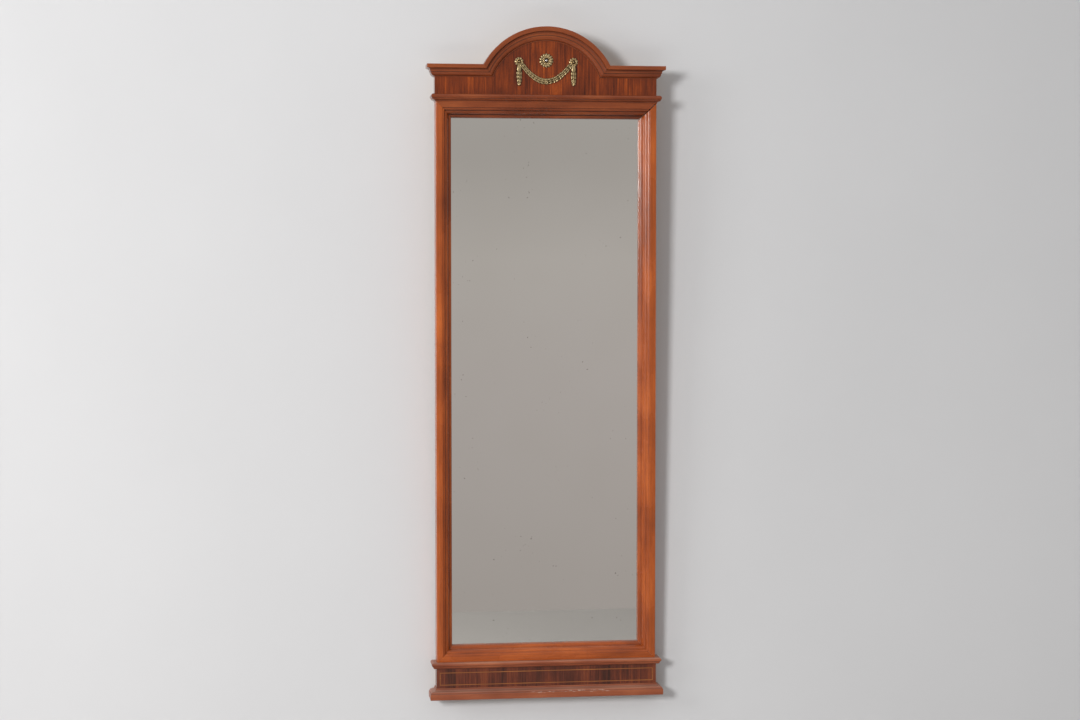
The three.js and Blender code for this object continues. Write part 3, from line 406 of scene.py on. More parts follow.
class Nodes:
    """The nodes of a material or the world, and short ways to add to them."""

    def __init__(self, owner, shader="Principled BSDF"):
        owner.use_nodes = True
        self.owner = owner
        self.tree = owner.node_tree
        self.shader = self.tree.nodes[shader]

    def add(self, kind, *sources, **settings):
        """A node with its first inputs linked or set, in their order."""
        node = self.tree.nodes.new(kind)
        for key, value in settings.items():
            setattr(node, key, value)
        for socket, source in zip(node.inputs, sources):
            self.feed(socket, source)
        return node

    def feed(self, socket, source):
        if isinstance(source, bpy.types.NodeSocket):
            self.tree.links.new(source, socket)
        elif isinstance(source, bpy.types.Node):
            self.tree.links.new(source.outputs[0], socket)
        else:
            socket.default_value = source

    def named(self, node, **inputs):
        """Links or sets inputs of a node by their names, with _ for a space."""
        for name, source in inputs.items():
            self.feed(node.inputs[name.replace("_", " ")], source)
        return node

    def shade(self, **inputs):
        self.named(self.shader, **inputs)

    def maths(self, operation, *sources, clamp=False):
        return self.add("ShaderNodeMath", *sources, operation=operation, use_clamp=clamp)

    def times(self, first, second):
        return self.maths("MULTIPLY", first, second)

    def scaled(self, value, factor, shift):
        return self.maths("MULTIPLY_ADD", value, factor, shift)

    def noise(self, vector, scale, detail, roughness=0.55, distortion=0.0):
        node = self.add("ShaderNodeTexNoise", vector)
        self.named(node, Scale=scale, Detail=detail, Roughness=roughness, Distortion=distortion)
        return node.outputs[0]

    def drawn_out(self, place, along, across, *settings):
        """Noise with one scale along the grain and another across it."""
        mapping = self.named(self.add("ShaderNodeMapping", place), Scale=(along, across, across))
        return self.noise(mapping, 1.0, *settings)

    def between(self, value, start, end, to_start=0.0, to_end=1.0):
        limits = (start, end, to_start, to_end)
        return self.add("ShaderNodeMapRange", value, *limits, interpolation_type="SMOOTHSTEP").outputs[0]

    def mix(self, factor, first, second):
        node = self.add("ShaderNodeMix", factor, data_type="RGBA")
        self.feed(node.inputs[6], first)
        self.feed(node.inputs[7], second)
        return node.outputs[2]

    def ramp(self, value, stops):
        node = self.add("ShaderNodeValToRGB", value)
        elements = node.color_ramp.elements
        while len(elements) < len(stops):
            elements.new(1.0)
        for element, (position, tone) in zip(elements, stops):
            element.position = position
            element.color = tone
        return node.outputs[0]

    def bump(self, height, distance, strength):
        return self.named(self.add("ShaderNodeBump"), Height=height, Distance=distance, Strength=strength)

    def attribute(self, name, output):
        return self.add("ShaderNodeAttribute", attribute_name=name).outputs[output]

    def object_place(self):
        return self.add("ShaderNodeTexCoord").outputs["Object"]

    def geometry(self, output):
        return self.add("ShaderNodeNewGeometry").outputs[output]

    def split(self, vector):
        return self.add("ShaderNodeSeparateXYZ", vector).outputs

    def in_wood(self, axis):
        """The place in the wood, with the grain along the first coordinate."""
        if axis is None:
            return self.attribute("grain", "Vector")
        place = self.split(self.object_place())
        order = {"x": "XZY", "z": "ZXY"}[axis]
        return self.add("ShaderNodeCombineXYZ", *[place[letter] for letter in order]).outputs[0]


# where the base's arris has been knocked: the middle of the place and its reach to each side
KNOCK_PLACE = 50 * MM
KNOCK_REACH = 100 * MM

# the dark of grime and of painted shade in the quirks of the mouldings
GRIME_AND_SHADE_TONE = colour(30, 13, 9)
DUST_TONE = colour(178, 146, 128)
SCUFF_TONE = colour(206, 186, 172)


def rubbing_grime_and_shade(nodes, tone, rough, light, grime_and_shade):
    """Lightens the worn arrises, and darkens the quirks with grime and painted shade, as the piece's layer
    of how far each point stands out says.
    """
    wear_and_shade = nodes.attribute("wear_and_shade", "Fac")
    paleness = nodes.times(nodes.between(wear_and_shade, 0.35, 0.95), 0.3)
    # painted shade: the quirks are darkened for the shadow that lies in them, as well as for grime
    quirk_grime_and_shade = nodes.times(nodes.between(wear_and_shade, -0.1, -0.5), grime_and_shade)
    tone = nodes.mix(quirk_grime_and_shade, nodes.mix(paleness, tone, light), GRIME_AND_SHADE_TONE)
    return tone, nodes.scaled(quirk_grime_and_shade, 0.3, rough)


def dust(nodes, tone, rough, upward, cloud, dusty):
    """Pale dust on the faces that look up."""
    lying = nodes.between(upward, 0.25, 0.9, 0.0, dusty)
    patch = nodes.between(cloud, 0.25, 0.65, 0.5, 1.0)
    tone = nodes.mix(nodes.times(lying, patch), tone, DUST_TONE)
    return tone, nodes.scaled(lying, 0.2, rough)


def knocks(nodes, tone, in_wood):
    """Pale scratches where the base's arris has been knocked."""
    scratches = nodes.drawn_out(in_wood, 70.0, 600.0, 2.0)
    place = nodes.split(nodes.object_place())
    off_middle = nodes.maths("ABSOLUTE", nodes.maths("SUBTRACT", place["X"], KNOCK_PLACE))
    off_arris = nodes.maths("ABSOLUTE", nodes.maths("SUBTRACT", place["Z"], FOOT + BASE_FILLET))
    knocked = nodes.between(off_middle, KNOCK_REACH, KNOCK_REACH * 0.5)
    scuff = nodes.times(nodes.between(scratches, 0.57, 0.63), knocked)
    scuff = nodes.times(scuff, nodes.between(off_arris, 3 * MM, 1 * MM))
    return nodes.mix(nodes.times(scuff, 0.85), tone, SCUFF_TONE)


def bare_back(nodes, tone, rough, in_wood, streaks, raw, dark):
    """Stained and streaky unpolished wood on the faces that look backward."""
    behind = nodes.between(nodes.split(nodes.geometry("Normal"))["Y"], 0.6, 0.8)
    stain = nodes.drawn_out(in_wood, 12.0, 30.0, 4.0)
    bare = nodes.mix(nodes.between(stain, 0.45, 0.7), raw, darkened(raw, 0.62))
    bare = nodes.mix(nodes.times(nodes.between(streaks, 0.5, 0.75), 0.35), bare, dark)
    return nodes.mix(behind, tone, bare), nodes.scaled(behind, 0.45, rough)


def wood(
    name, tones, axis=None, figure=(55.0, 3.0), contrast=1.0, rough=0.2, grime_and_shade=0.8, raw=None, dusty=0.0
):
    """Polished wood with broad bands, fine streaks and short pores along its grain.

    tones are (dark, middle, light), axis is the grain's where the piece has no "grain" layer, figure is how
    many bands fit in a metre across the grain and along it, grime_and_shade is how dark its quirks are,
    from grime and painted shade, raw is the colour of an unpolished back, and dusty is how pale its upward
    faces are, with a knocked arris.
    """
    dark, middle, light = tones
    nodes = Nodes(bpy.data.materials.new(name))
    in_wood = nodes.in_wood(axis)
    bands = nodes.drawn_out(in_wood, figure[1], figure[0], 3.0, 0.55, 0.2)
    streaks = nodes.drawn_out(in_wood, 14.0, 420.0, 3.0, 0.6)
    pores = nodes.drawn_out(in_wood, 90.0, 1700.0, 1.0)
    cloud = nodes.drawn_out(in_wood, 9.0, 20.0, 2.0)
    mixed = nodes.maths("ADD", nodes.times(bands, 0.5), nodes.times(streaks, 0.5))
    spread = nodes.scaled(mixed, 2.2 * contrast, 0.5 - 1.1 * contrast)
    shifted = nodes.maths("ADD", spread, nodes.scaled(cloud, 0.9, -0.45))
    pore = nodes.between(pores, 0.42, 0.3)
    tone = nodes.ramp(shifted, [(0.1, dark), (0.5, middle), (0.9, light)])
    tone = nodes.mix(nodes.times(pore, 0.5), tone, dark)
    rough = nodes.scaled(cloud, 0.12, rough - 0.06)
    if axis is None:
        tone, rough = rubbing_grime_and_shade(nodes, tone, rough, light, grime_and_shade)
    if dusty:
        upward = nodes.split(nodes.geometry("Normal"))["Z"]
        tone, rough = dust(nodes, tone, rough, upward, cloud, dusty)
        tone = knocks(nodes, tone, in_wood)
    if raw:
        tone, rough = bare_back(nodes, tone, rough, in_wood, streaks, raw, dark)
    height = nodes.maths("ADD", nodes.times(streaks, 0.6), nodes.times(pore, -0.5))
    nodes.shade(Base_Color=tone, Roughness=rough, Normal=nodes.bump(height, 0.08 * MM, 0.5))
    nodes.shade(Specular_IOR_Level=0.35, Coat_Weight=0.12, Coat_Roughness=0.08)
    return nodes.owner


BARE_BACK = colour(120, 84, 58)
FRAME_TONES = (colour(100, 42, 16), colour(152, 71, 27), colour(194, 100, 40))
CREST_TONES = (colour(80, 33, 15), colour(124, 58, 28), colour(158, 83, 42))
FOOT_TONES = (colour(93, 41, 23), colour(135, 68, 41), colour(166, 95, 60))
FRIEZE_TONES = (colour(58, 20, 9), colour(120, 50, 17), colour(180, 84, 24))
PLINTH_TONES = (colour(50, 26, 18), colour(92, 43, 28), colour(132, 65, 34))
STRING_TONES = (colour(122, 70, 36), colour(152, 92, 48), colour(182, 118, 62))
BOARD_TONES = (colour(78, 34, 20), colour(112, 54, 30), colour(138, 72, 40))
BOARD_BACK = colour(176, 138, 92)

frame_wood = wood(
    "mahogany_frame", FRAME_TONES, figure=(60.0, 3.0), contrast=0.5, rough=0.27, grime_and_shade=0.15, raw=BARE_BACK
)
crest_wood = wood("mahogany_crest", CREST_TONES, figure=(45.0, 3.0), contrast=0.5, raw=BARE_BACK)
foot_wood = wood(
    "mahogany_foot", FOOT_TONES, figure=(45.0, 3.0), contrast=0.6, rough=0.4, grime_and_shade=0.5, raw=BARE_BACK,
    dusty=0.35,
)
frieze_wood = wood("frieze_veneer", FRIEZE_TONES, axis="z", figure=(260.0, 11.0), contrast=0.7, rough=0.16)
plinth_wood = wood("plinth_veneer", PLINTH_TONES, axis="z", figure=(60.0, 3.0), contrast=0.95)
string_wood = wood("stringing", STRING_TONES, axis="x", contrast=0.7)
board_wood = wood("board", BOARD_TONES, axis="x", raw=BOARD_BACK)


def pine(name, axis):
    """Bare aged softwood: pale and darker year rings, fibres and dust."""
    nodes = Nodes(bpy.data.materials.new(name))
    in_wood = nodes.in_wood(axis)
    wander = nodes.drawn_out(in_wood, 1.2, 4.0, 2.0)
    across = nodes.times(nodes.split(in_wood)["Y"], 62.0)
    rings = nodes.scaled(wander, 9.0, across)
    late = nodes.maths("POWER", nodes.maths("FRACT", rings), 3.0)
    fibres = nodes.drawn_out(in_wood, 14.0, 700.0, 3.0)
    dirt = nodes.drawn_out(in_wood, 5.0, 6.0, 4.0)
    tone = nodes.mix(late, colour(190, 152, 104), colour(148, 102, 60))
    tone = nodes.mix(nodes.between(fibres, 0.35, 0.75, 0.0, 0.5), tone, colour(168, 124, 78))
    tone = nodes.mix(nodes.between(dirt, 0.42, 0.72, 0.0, 0.55), tone, colour(112, 86, 62))
    nodes.shade(Base_Color=tone, Roughness=0.72, Normal=nodes.bump(fibres, 0.15 * MM, 0.5))
    return nodes.owner


pine_upright = pine("pine_upright", "z")
pine_level = pine("pine_level", "x")


def mirror_glass():
    """Silvered plate with the slight specks and clouding of age."""
    nodes = Nodes(bpy.data.materials.new("mirror"))
    place = nodes.object_place()
    specks = nodes.noise(place, 160.0, 1.0)
    sparse = nodes.noise(place, 9.0, 2.0)
    speck = nodes.times(nodes.between(specks, 0.74, 0.8), nodes.between(sparse, 0.52, 0.6))
    cloud = nodes.between(nodes.noise(place, 3.0, 3.0), 0.3, 0.8, 0.0, 0.35)
    tone = nodes.mix(cloud, colour(236, 236, 233), colour(226, 225, 219))
    tone = nodes.mix(nodes.times(speck, 0.5), tone, colour(120, 112, 104))
    nodes.shade(Base_Color=tone, Metallic=1.0, Roughness=0.02)
    return nodes.owner


silvered = mirror_glass()


def metal(name, bright, dull, polish, worn_and_shaded_by_form):
    """Metal that is rubbed bright on its raised parts and darker in its hollows from patina and painted
    shade, or, if it doesn't follow the form, only rubbed here and there.
    """
    nodes = Nodes(bpy.data.materials.new(name))
    place = nodes.object_place()
    mottle = nodes.noise(place, 420.0, 4.0, 0.65)
    blotch = nodes.noise(place, 90.0, 3.0)
    if worn_and_shaded_by_form:
        # rubbed pale on the raised parts; the hollows are darker with patina and painted shade
        rub_and_shade = nodes.between(nodes.attribute("wear_and_shade", "Fac"), 0.3, 0.92)
    else:
        rub_and_shade = nodes.between(blotch, 0.25, 0.6)
    rub_and_shade = nodes.maths("ADD", rub_and_shade, nodes.scaled(mottle, 0.5, -0.27), clamp=True)
    rough = nodes.scaled(rub_and_shade, -0.22, polish + 0.22)
    nodes.shade(Base_Color=nodes.mix(rub_and_shade, dull, bright), Metallic=1.0, Roughness=rough)
    nodes.shade(Normal=nodes.bump(nodes.maths("ADD", mottle, blotch), 0.12 * MM, 0.6))
    return nodes.owner


brass = metal("brass", colour(216, 192, 144), colour(66, 50, 30), 0.3, True)
bright_steel = metal("bright_steel", colour(214, 214, 216), colour(120, 116, 112), 0.22, False)
steel = metal("steel", colour(150, 148, 146), colour(84, 70, 60), 0.42, False)


# ---------------- frame


def mitred(first, last, first_gap, last_gap):
    """Where a frame member starts and stops, with its ends cut at 45 degrees and pulled back."""
    return (
        lambda a, b: first + a + first_gap * math.sqrt(2),
        lambda a, b: last - a - last_gap * math.sqrt(2),
    )


def stile(side, name, top_gap):
    section = rounded(member_section(), WORN)
    start, end = mitred(FRAME_BOTTOM, FRAME_TOP, MITRE_GAP / 2, top_gap)
    plain = evenly(section, FRAME_BOTTOM + PAST_MITRE, FRAME_TOP - PAST_MITRE, spacing=40 * MM)

    def place(along, a, b):
        return (side * (FRAME_HALF - a), -b, along)

    finished(name, swept(section, place, start, end, plain), frame_wood, [name])


def rail(name, material, level, inward, battens):
    """A rail whose outer edge is at a level; its back has a housing for each batten."""
    section = rounded(member_section(), WORN)
    recess = CARCASS_RECESS + HOUSING_ROOM
    housing = BATTEN_HOUSING + HOUSING_ROOM
    sound = [*section, (housing, 0), (housing, 0)]
    first_front = next(i for i, (a, b) in enumerate(section) if b > recess)
    cut = [(a, max(b, recess)) if i < first_front else (a, b) for i, (a, b) in enumerate(section)]
    cut += [(housing, 0), (housing, recess)]
    start, end = mitred(-FRAME_HALF, FRAME_HALF, MITRE_GAP / 2, MITRE_GAP / 2)
    stops = [(PAST_MITRE - FRAME_HALF, sound)]
    for batten in battens:
        left = low(batten).x - HOUSING_ROOM
        right = high(batten).x + HOUSING_ROOM
        stops += [(left, sound), (left, cut), (right, cut), (right, sound)]
    stops.append((FRAME_HALF - PAST_MITRE, sound))

    def place(along, a, b):
        return (along, -b, level + inward * a)

    finished(name, swept(sound, place, start, end, stops), material, [name])


stile(-1, "stile_left", MITRE_GAP / 2)
stile(1, "stile_right", OPEN_MITRE_GAP - MITRE_GAP / 2)
# The top rail takes the darker crest wood as painted shade, for the shadow that the necking casts on it.
rail("top_rail", crest_wood, FRAME_TOP, -1, ["crest_batten_left", "crest_batten_right"])
rail("bottom_rail", frame_wood, FRAME_BOTTOM, 1, ["plinth_batten_left", "plinth_batten_right"])


# ---------------- mouldings


def wrapped(name, material, face, foot, side, front_depth, lead=-math.inf, backs=(0.0, 0.0), step=None):
    """A front run and its two returns, mitred round a block with its front and sides at those places.

    The front's ends reach past the sides by "lead" at least. Above the height "step" over the moulding's
    foot the block is set back by backs, at its front and its sides.
    """
    top = face[-1][1]

    def closed(back):
        inner = [(0, top)] if step is None else [(back, top), (back, step), (0, step)]
        return rounded([(0, face[0][1]), *face, *inner], CRISP)

    section = closed(backs[0])

    def place(along, a, b):
        return (along, -(front_depth + a), foot + b)

    def end(a, b):
        return side + max(a, lead) - MITRE_PULL

    def start(a, b):
        return -end(a, b)

    half = side - 5 * MM
    bm = swept(section, place, start, end, evenly(section, -half, half, spacing=40 * MM))
    finished(f"{name}_front", bm, material, [f"{name}_front"])
    returns(name, material, closed(backs[1]), foot, side, front_depth)


def returns(name, material, section, foot, side, front_depth):
    """The two runs of a moulding back along the sides of its block."""
    for sign, word in SIDES:

        def place(along, a, b, sign=sign):
            return (sign * (side + a), -along, foot + b)

        def end(a, b):
            return front_depth + a - MITRE_PULL

        plain = evenly(section, CARCASS_RECESS + 4 * MM, front_depth - 4 * MM, spacing=12 * MM)
        bm = swept(section, place, lambda a, b: CARCASS_RECESS, end, plain)
        finished(f"{name}_return_{word}", bm, material, [f"{name}_return_{word}"])


wrapped(
    "necking", crest_wood, necking_face(), FRAME_TOP - NECKING_LAP, FRAME_HALF, FRAME_DEPTH,
    lead=CREST_HALF - FRAME_HALF,
    backs=(FRIEZE_DEPTH - FRAME_DEPTH, CREST_HALF - FRAME_HALF),
    step=NECKING_LAP,
)
wrapped(
    "bead", foot_wood, bead_face(), FRAME_BOTTOM + BEAD_LAP - BEAD_HEIGHT, PLINTH_HALF, PLINTH_DEPTH,
    backs=(FRAME_DEPTH - PLINTH_DEPTH, FRAME_HALF - PLINTH_HALF),
    step=BEAD_HEIGHT - BEAD_LAP,
)
wrapped("base", foot_wood, base_face(), FOOT, PLINTH_HALF, PLINTH_DEPTH)


def arch_mitre():
    """The line between wing and arch: its inner end and its direction."""
    inner = Vector((ARCH_INNER_HALF_CHORD, CORNICE_BOTTOM))
    outer = Vector((ARCH_HALF_CHORD, WING_TOP))
    return inner, (outer - inner).normalized()


def cornice_section(width):
    """The cornice's closed section as (distance out, height above its foot), stretched to a width."""
    stretch = width / CORNICE_HEIGHT
    face = [(out, up * stretch) for out, up in cornice_face()]
    return rounded([(0, 0), *face, (0, width)], CRISP)


def cornice_wing(sign, word):
    inner, along_mitre = arch_mitre()
    section = cornice_section(CORNICE_HEIGHT)

    def place(along, a, b):
        return (sign * along, -(FRIEZE_DEPTH + a), CORNICE_BOTTOM + b)

    def start(a, b):
        return inner.x + b * along_mitre.x / along_mitre.y + MITRE_GAP / 2

    def end(a, b):
        return CREST_HALF + a - MITRE_PULL

    plain = evenly(section, ARCH_HALF_CHORD + 4 * MM, CREST_HALF - 4 * MM, spacing=30 * MM)
    node = f"cornice_wing_{word}"
    finished(node, swept(section, place, start, end, plain), crest_wood, [node])


def cornice_arch():
    """The bent cornice over the arch, mitred to both wings."""
    inner, along_mitre = arch_mitre()
    section = cornice_section(ARCH_WIDTH)
    middle_radius = ARCH_INNER_RADIUS + ARCH_WIDTH / 2

    def half_angle(b):
        """Angle from the crown to the mitre, at the distance b above the arch's inner edge."""
        radius = ARCH_INNER_RADIUS + b
        offset = inner - Vector((0, ARCH_CENTRE))
        across = offset.dot(along_mitre)
        reach = math.sqrt(across**2 - offset.length_squared + radius**2) - across
        point = offset + along_mitre * reach
        return math.atan2(point.x, point.y) - MITRE_GAP / 2 / radius

    def place(along, a, b):
        angle = along / middle_radius
        radius = ARCH_INNER_RADIUS + b
        return (radius * math.sin(angle), -(FRIEZE_DEPTH + a), ARCH_CENTRE + radius * math.cos(angle))

    def end(a, b):
        return half_angle(b) * middle_radius

    def start(a, b):
        return -end(a, b)

    half = (min(half_angle(0), half_angle(ARCH_WIDTH)) - 0.03) * middle_radius
    bm = swept(section, place, start, end, evenly(section, -half, half, spacing=2.5 * MM))
    finished("cornice_arch", bm, crest_wood, ["cornice_arch"])


for sign, word in SIDES:
    cornice_wing(sign, word)
cornice_arch()
returns("cornice", crest_wood, cornice_section(CORNICE_HEIGHT), CORNICE_BOTTOM, CREST_HALF, FRIEZE_DEPTH)


# ---------------- brass


class Relief:
    """The mesh of a cast mount; its places are (x, height), with the lift off the frieze."""

    def __init__(self):
        self.bm = bmesh.new()
        # how pale the brass is at each point: rubbed on the high parts, with patina and painted shade in
        # the hollows
        self.wear_and_shade = self.bm.verts.layers.float.new("wear_and_shade")

    def vert(self, x, height, lift, rub_and_shade):
        made = self.bm.verts.new((x, -(FRIEZE_DEPTH + lift), height))
        made[self.wear_and_shade] = rub_and_shade
        return made

    def circles(self, x, height, outline, sides):
        """Loops of vertices round (x, height), one for each (radius, lift, how pale the brass is there) of
        the outline.
        """
        loops = []
        for radius, lift, rub_and_shade in outline:
            directions = around(sides if radius else 1)
            spots = [(x + radius * c, height + radius * s) for c, s in directions]
            loops.append([self.vert(*spot, lift, rub_and_shade) for spot in spots])
        return loops


def turned(relief, x, height, outline):
    """A closed ring round (x, height); its outline is (radius, lift, how pale the brass is there)."""
    skin(relief.bm, relief.circles(x, height, outline, 48), closed=True)


def rosette(relief, x, height, radius, petals, rise, eye):
    """A cast flower: a whorl of round-ended petals, a ring of beads and a collar round its sunk eye."""
    middle = Vector((x, height))
    # the plate round the petals is dark and the collar pale: patina and painted shade in the hollows,
    # rubbing on the collar
    plate = [(radius * 0.2, 0, 0), (radius * 0.84, 0, 0), (radius * 0.84, rise * 0.25, 0)]
    turned(relief, x, height, [*plate, (radius * 0.2, rise * 0.3, 0)])
    petal_width = 2 * math.pi * radius * 0.8 / petals * 1.12
    for direction in around(petals, 0.5):
        root = middle + Vector(direction) * (eye * 1.15)
        tip = middle + Vector(direction) * radius
        leaf(relief, root, tip, petal_width, rise * 0.6, rise * 0.14, round_ended=True)
    bead_ring = eye * 1.42
    for direction in around(round(2 * math.pi * bead_ring / (eye * 0.6))):
        bead = middle + Vector(direction) * bead_ring
        berry(relief, bead, eye * 0.27, rise * 0.62)
    wall = eye * 0.2
    crest = arc(eye + wall / 2, rise * 0.8, wall / 2, rise * 0.2, 0, 180, 6)
    collar = [(r, lift, 0.95) for r, lift in crest]
    turned(relief, x, height, [(eye + wall, rise * 0.2, 0), *collar, (eye, rise * 0.2, 0)])


LEAF_ROWS = 8
LEAF_SIDES = 6


def leaf_breadth(u, round_ended):
    """The breadth of a leaf at the share u of its length, as a share of its greatest."""
    if round_ended:
        swell = 0.7 + 0.3 * min(1.0, u / 0.6)
        return swell * math.sqrt(1 - max(0.0, (u - 0.6) / 0.4) ** 2.4)
    return math.sin(math.pi * min(0.97, 0.12 + 0.86 * u)) ** 0.75


def leaf(relief, base, tip, width, rise, lift, round_ended=False):
    """A leaf lying on the frieze from base to tip, in (x, height), with a furrow for its midrib."""
    forward = tip - base
    side = Vector((-forward.y, forward.x)).normalized()
    fronts = []
    backs = []
    for i in range(LEAF_ROWS + 1):
        u = i / LEAF_ROWS
        half = width / 2 * max(0.06, leaf_breadth(u, round_ended))
        front = []
        back = []
        for k in range(LEAF_SIDES + 1):
            v = 2 * k / LEAF_SIDES - 1
            x, height = base + forward * u + side * (v * half)
            dome = math.sqrt(max(0.0, 1 - 0.9 * v * v)) - 0.22 * math.exp(-((v / 0.22) ** 2))
            stand = lift * (0.35 + 0.65 * u) + rise * dome * (0.55 + 0.45 * math.sin(math.pi * u))
            # paler along the leaf's crown and towards its tip, darker at its edges and root: rubbing, with
            # patina and painted shade where it dips under its neighbour
            paleness = 0.8 if round_ended else 0.45 + 0.55 * u
            front.append(relief.vert(x, height, stand, max(0.0, min(1.0, 1.25 * dome * paleness - 0.2))))
            back.append(relief.vert(x, height, 0.1 * MM, 0))
        fronts.append(front)
        backs.append(back)
    new_face = relief.bm.faces.new
    rows = list(zip(fronts, backs))
    for (front, back), (next_front, next_back) in zip(rows, rows[1:]):
        for k in range(LEAF_SIDES):
            new_face((front[k], front[k + 1], next_front[k + 1], next_front[k]))
            new_face((back[k], next_back[k], next_back[k + 1], back[k + 1]))
        new_face((front[0], next_front[0], next_back[0], back[0]))
        new_face((front[-1], back[-1], next_back[-1], next_front[-1]))
    for k in range(LEAF_SIDES):
        new_face((fronts[0][k], backs[0][k], backs[0][k + 1], fronts[0][k + 1]))
        new_face((fronts[-1][k], fronts[-1][k + 1], backs[-1][k + 1], backs[-1][k]))


def berry(relief, spot, radius, lift):
    """A half-round bead on the relief."""
    outline = []
    # pale on the bead's top and darker round its foot: rubbing, with patina and painted shade
    for reach, up in arc(0, 0, radius, radius, 0, 90, 5)[:-1]:
        outline.append((reach, lift + up, 0.3 + 0.7 * up / radius))
    loops = relief.circles(*spot, [*outline, (0, lift + radius, 1)], 12)
    skin(relief.bm, loops)
    relief.bm.faces.new(loops[0])


def shares_along(path, count):
    """The shares of a path at which it is cut into equal lengths."""
    fine = 200
    steps = [(path((i + 1) / fine) - path(i / fine)).length for i in range(fine)]
    lengths = [sum(steps[:i]) for i in range(fine + 1)]
    cuts = [lengths[-1] * k / count for k in range(count)]
    return [sum(length < cut for length in lengths) / fine for cut in cuts]


def heading(path, t, step):
    """The direction of a path at the share t of its length."""
    return (path(min(1.0, t + step)) - path(max(0.0, t - step))).normalized()


def core(relief, path, half_width, rise):
    """The plain rounded bar under a row of leaves; path gives (x, height) at a share of its length."""
    steps = 40
    loops = []
    for t in [i / steps for i in range(steps + 1)]:
        ahead = heading(path, t, 0.01)
        side = Vector((-ahead.y, ahead.x))
        loop = []
        for across, lift in arc(0, 0, half_width(t), rise, 0, 180, 8):
            loop.append(relief.vert(*(path(t) + side * across), lift, 0.42))
        loops.append(loop)
    skin(relief.bm, loops, capped=True)


PIN_LEFT = centre("swag_pin_left")
PIN_RIGHT = centre("swag_pin_right")
SWAG_RADIUS = 9.4 * MM
SWAG_RISE = 4.6 * MM
SWAG_SAG = 40 * MM
GARLAND_WIDTH = 12 * MM
GARLAND_TIERS = 9  # on each side of the tie
GARLAND_LEAF = 10.4 * MM
DROP_LENGTH = 42 * MM
DROP_WIDTH = 13.4 * MM
DROP_TIERS = 4  # below its long first husk


def garland_path(side):
    """One half of the garland, from its small rosette at 0 down to the tie at 1."""
    half = PIN_RIGHT.x - SWAG_RADIUS * 0.5
    top = PIN_RIGHT.z - SWAG_RADIUS * 0.42
    sag = SWAG_SAG - SWAG_RADIUS * 0.42

    def path(t):
        s = 1 - t
        return Vector((side * half * s, top - sag + sag * s * s))

    return path


def garland_half_width(t):
    return GARLAND_WIDTH / 2 * (0.76 + 0.24 * math.sin(math.pi / 2 * t))


def garland(relief, side):
    path = garland_path(side)
    core(relief, path, lambda t: garland_half_width(t) * 0.72, SWAG_RISE * 0.5)
    for t in shares_along(path, GARLAND_TIERS):
        ahead = heading(path, t, 0.04)
        across = Vector((-ahead.y, ahead.x)) * garland_half_width(t)
        length = GARLAND_LEAF * (0.9 + 0.2 * random.random())
        for place in (-1, 1, 0):
            root = path(t) + across * (place * 0.3)
            tip = root + ahead * length + across * (place * (0.5 + 0.16 * random.random()))
            width = garland_half_width(t) * (0.92 if place else 0.84)
            rise = SWAG_RISE * (0.42 if place else 0.45)
            leaf(relief, root, tip, width, rise, SWAG_RISE * (0.3 if place else 0.5))
        for place in (-0.75, 0.75):
            spot = path(t) + across * place + ahead * (length * 0.3)
            berry(relief, spot, 0.9 * MM, SWAG_RISE * 0.32)


def tie(relief):
    """The crossed band that binds the garland at its lowest point."""
    bottom = garland_path(1)(1)
    for side in (-1, 1):
        reach = Vector((side * 3.4 * MM, -GARLAND_WIDTH / 2 * 0.95))
        leaf(relief, bottom - reach, bottom + reach, 2.6 * MM, SWAG_RISE * 0.3, SWAG_RISE * 0.72)
    berry(relief, bottom, 1.5 * MM, SWAG_RISE * 0.7)


def husk_drop(relief, x, level):
    """A pendant: one long smooth husk, tiers of three leaves that point down, and a bud."""
    top = level - SWAG_RADIUS * 0.7
    bottom = level - SWAG_RADIUS * 0.8 - DROP_LENGTH
    length = top - bottom

    def path(t):
        return Vector((x, top - length * t))

    def half_width(t):
        belly = math.sin(math.pi * min(1.0, t * 1.25))
        return DROP_WIDTH / 2 * (0.8 + 0.2 * belly - 0.3 * t**6)

    core(relief, path, lambda t: half_width(t) * 0.78, SWAG_RISE * 0.5)
    first = 0.3
    rise = SWAG_RISE * 0.75
    leaf(relief, path(0), path(first + 0.06), DROP_WIDTH * 0.9, rise, SWAG_RISE * 0.2, round_ended=True)
    pitch = length * (1 - first) / DROP_TIERS
    for tier in range(DROP_TIERS):
        t = first + (1 - first) * tier / DROP_TIERS
        half = half_width(t + 0.06)
        reach = pitch * (1.3 if tier < DROP_TIERS - 1 else 0.95)
        for place in (-1, 1, 0):
            root = path(t - 0.04) + Vector((place * half * 0.24, 0))
            tip = path(t - 0.04) + Vector((place * half * 0.62, -reach))
            width = half * (1.05 if place else 0.95)
            lift = SWAG_RISE * (0.24 if place else 0.36)
            leaf(relief, root, tip, width, SWAG_RISE * (0.5 if place else 0.6), lift)
    bud = 2.3 * MM
    berry(relief, Vector((x, bottom + bud)), bud, SWAG_RISE * 0.15)


def rosette_mount():
    relief = Relief()
    pin = centre("rosette_pin")
    radius = (high("rosette_mount").x - low("rosette_mount").x) / 2
    rosette(relief, pin.x, pin.z, radius, petals=14, rise=4 * MM, eye=5.2 * MM)
    finished("rosette_mount", relief.bm, brass, ["rosette_mount"], smooth_below=60)


def swag_mount():
    relief = Relief()
    for side, pin in ((-1, PIN_LEFT), (1, PIN_RIGHT)):
        garland(relief, side)
        husk_drop(relief, pin.x, pin.z)
        rosette(relief, pin.x, pin.z, SWAG_RADIUS, petals=9, rise=SWAG_RISE, eye=3.7 * MM)
    tie(relief)
    finished("swag_mount", relief.bm, brass, ["swag_mount"], smooth_below=60)


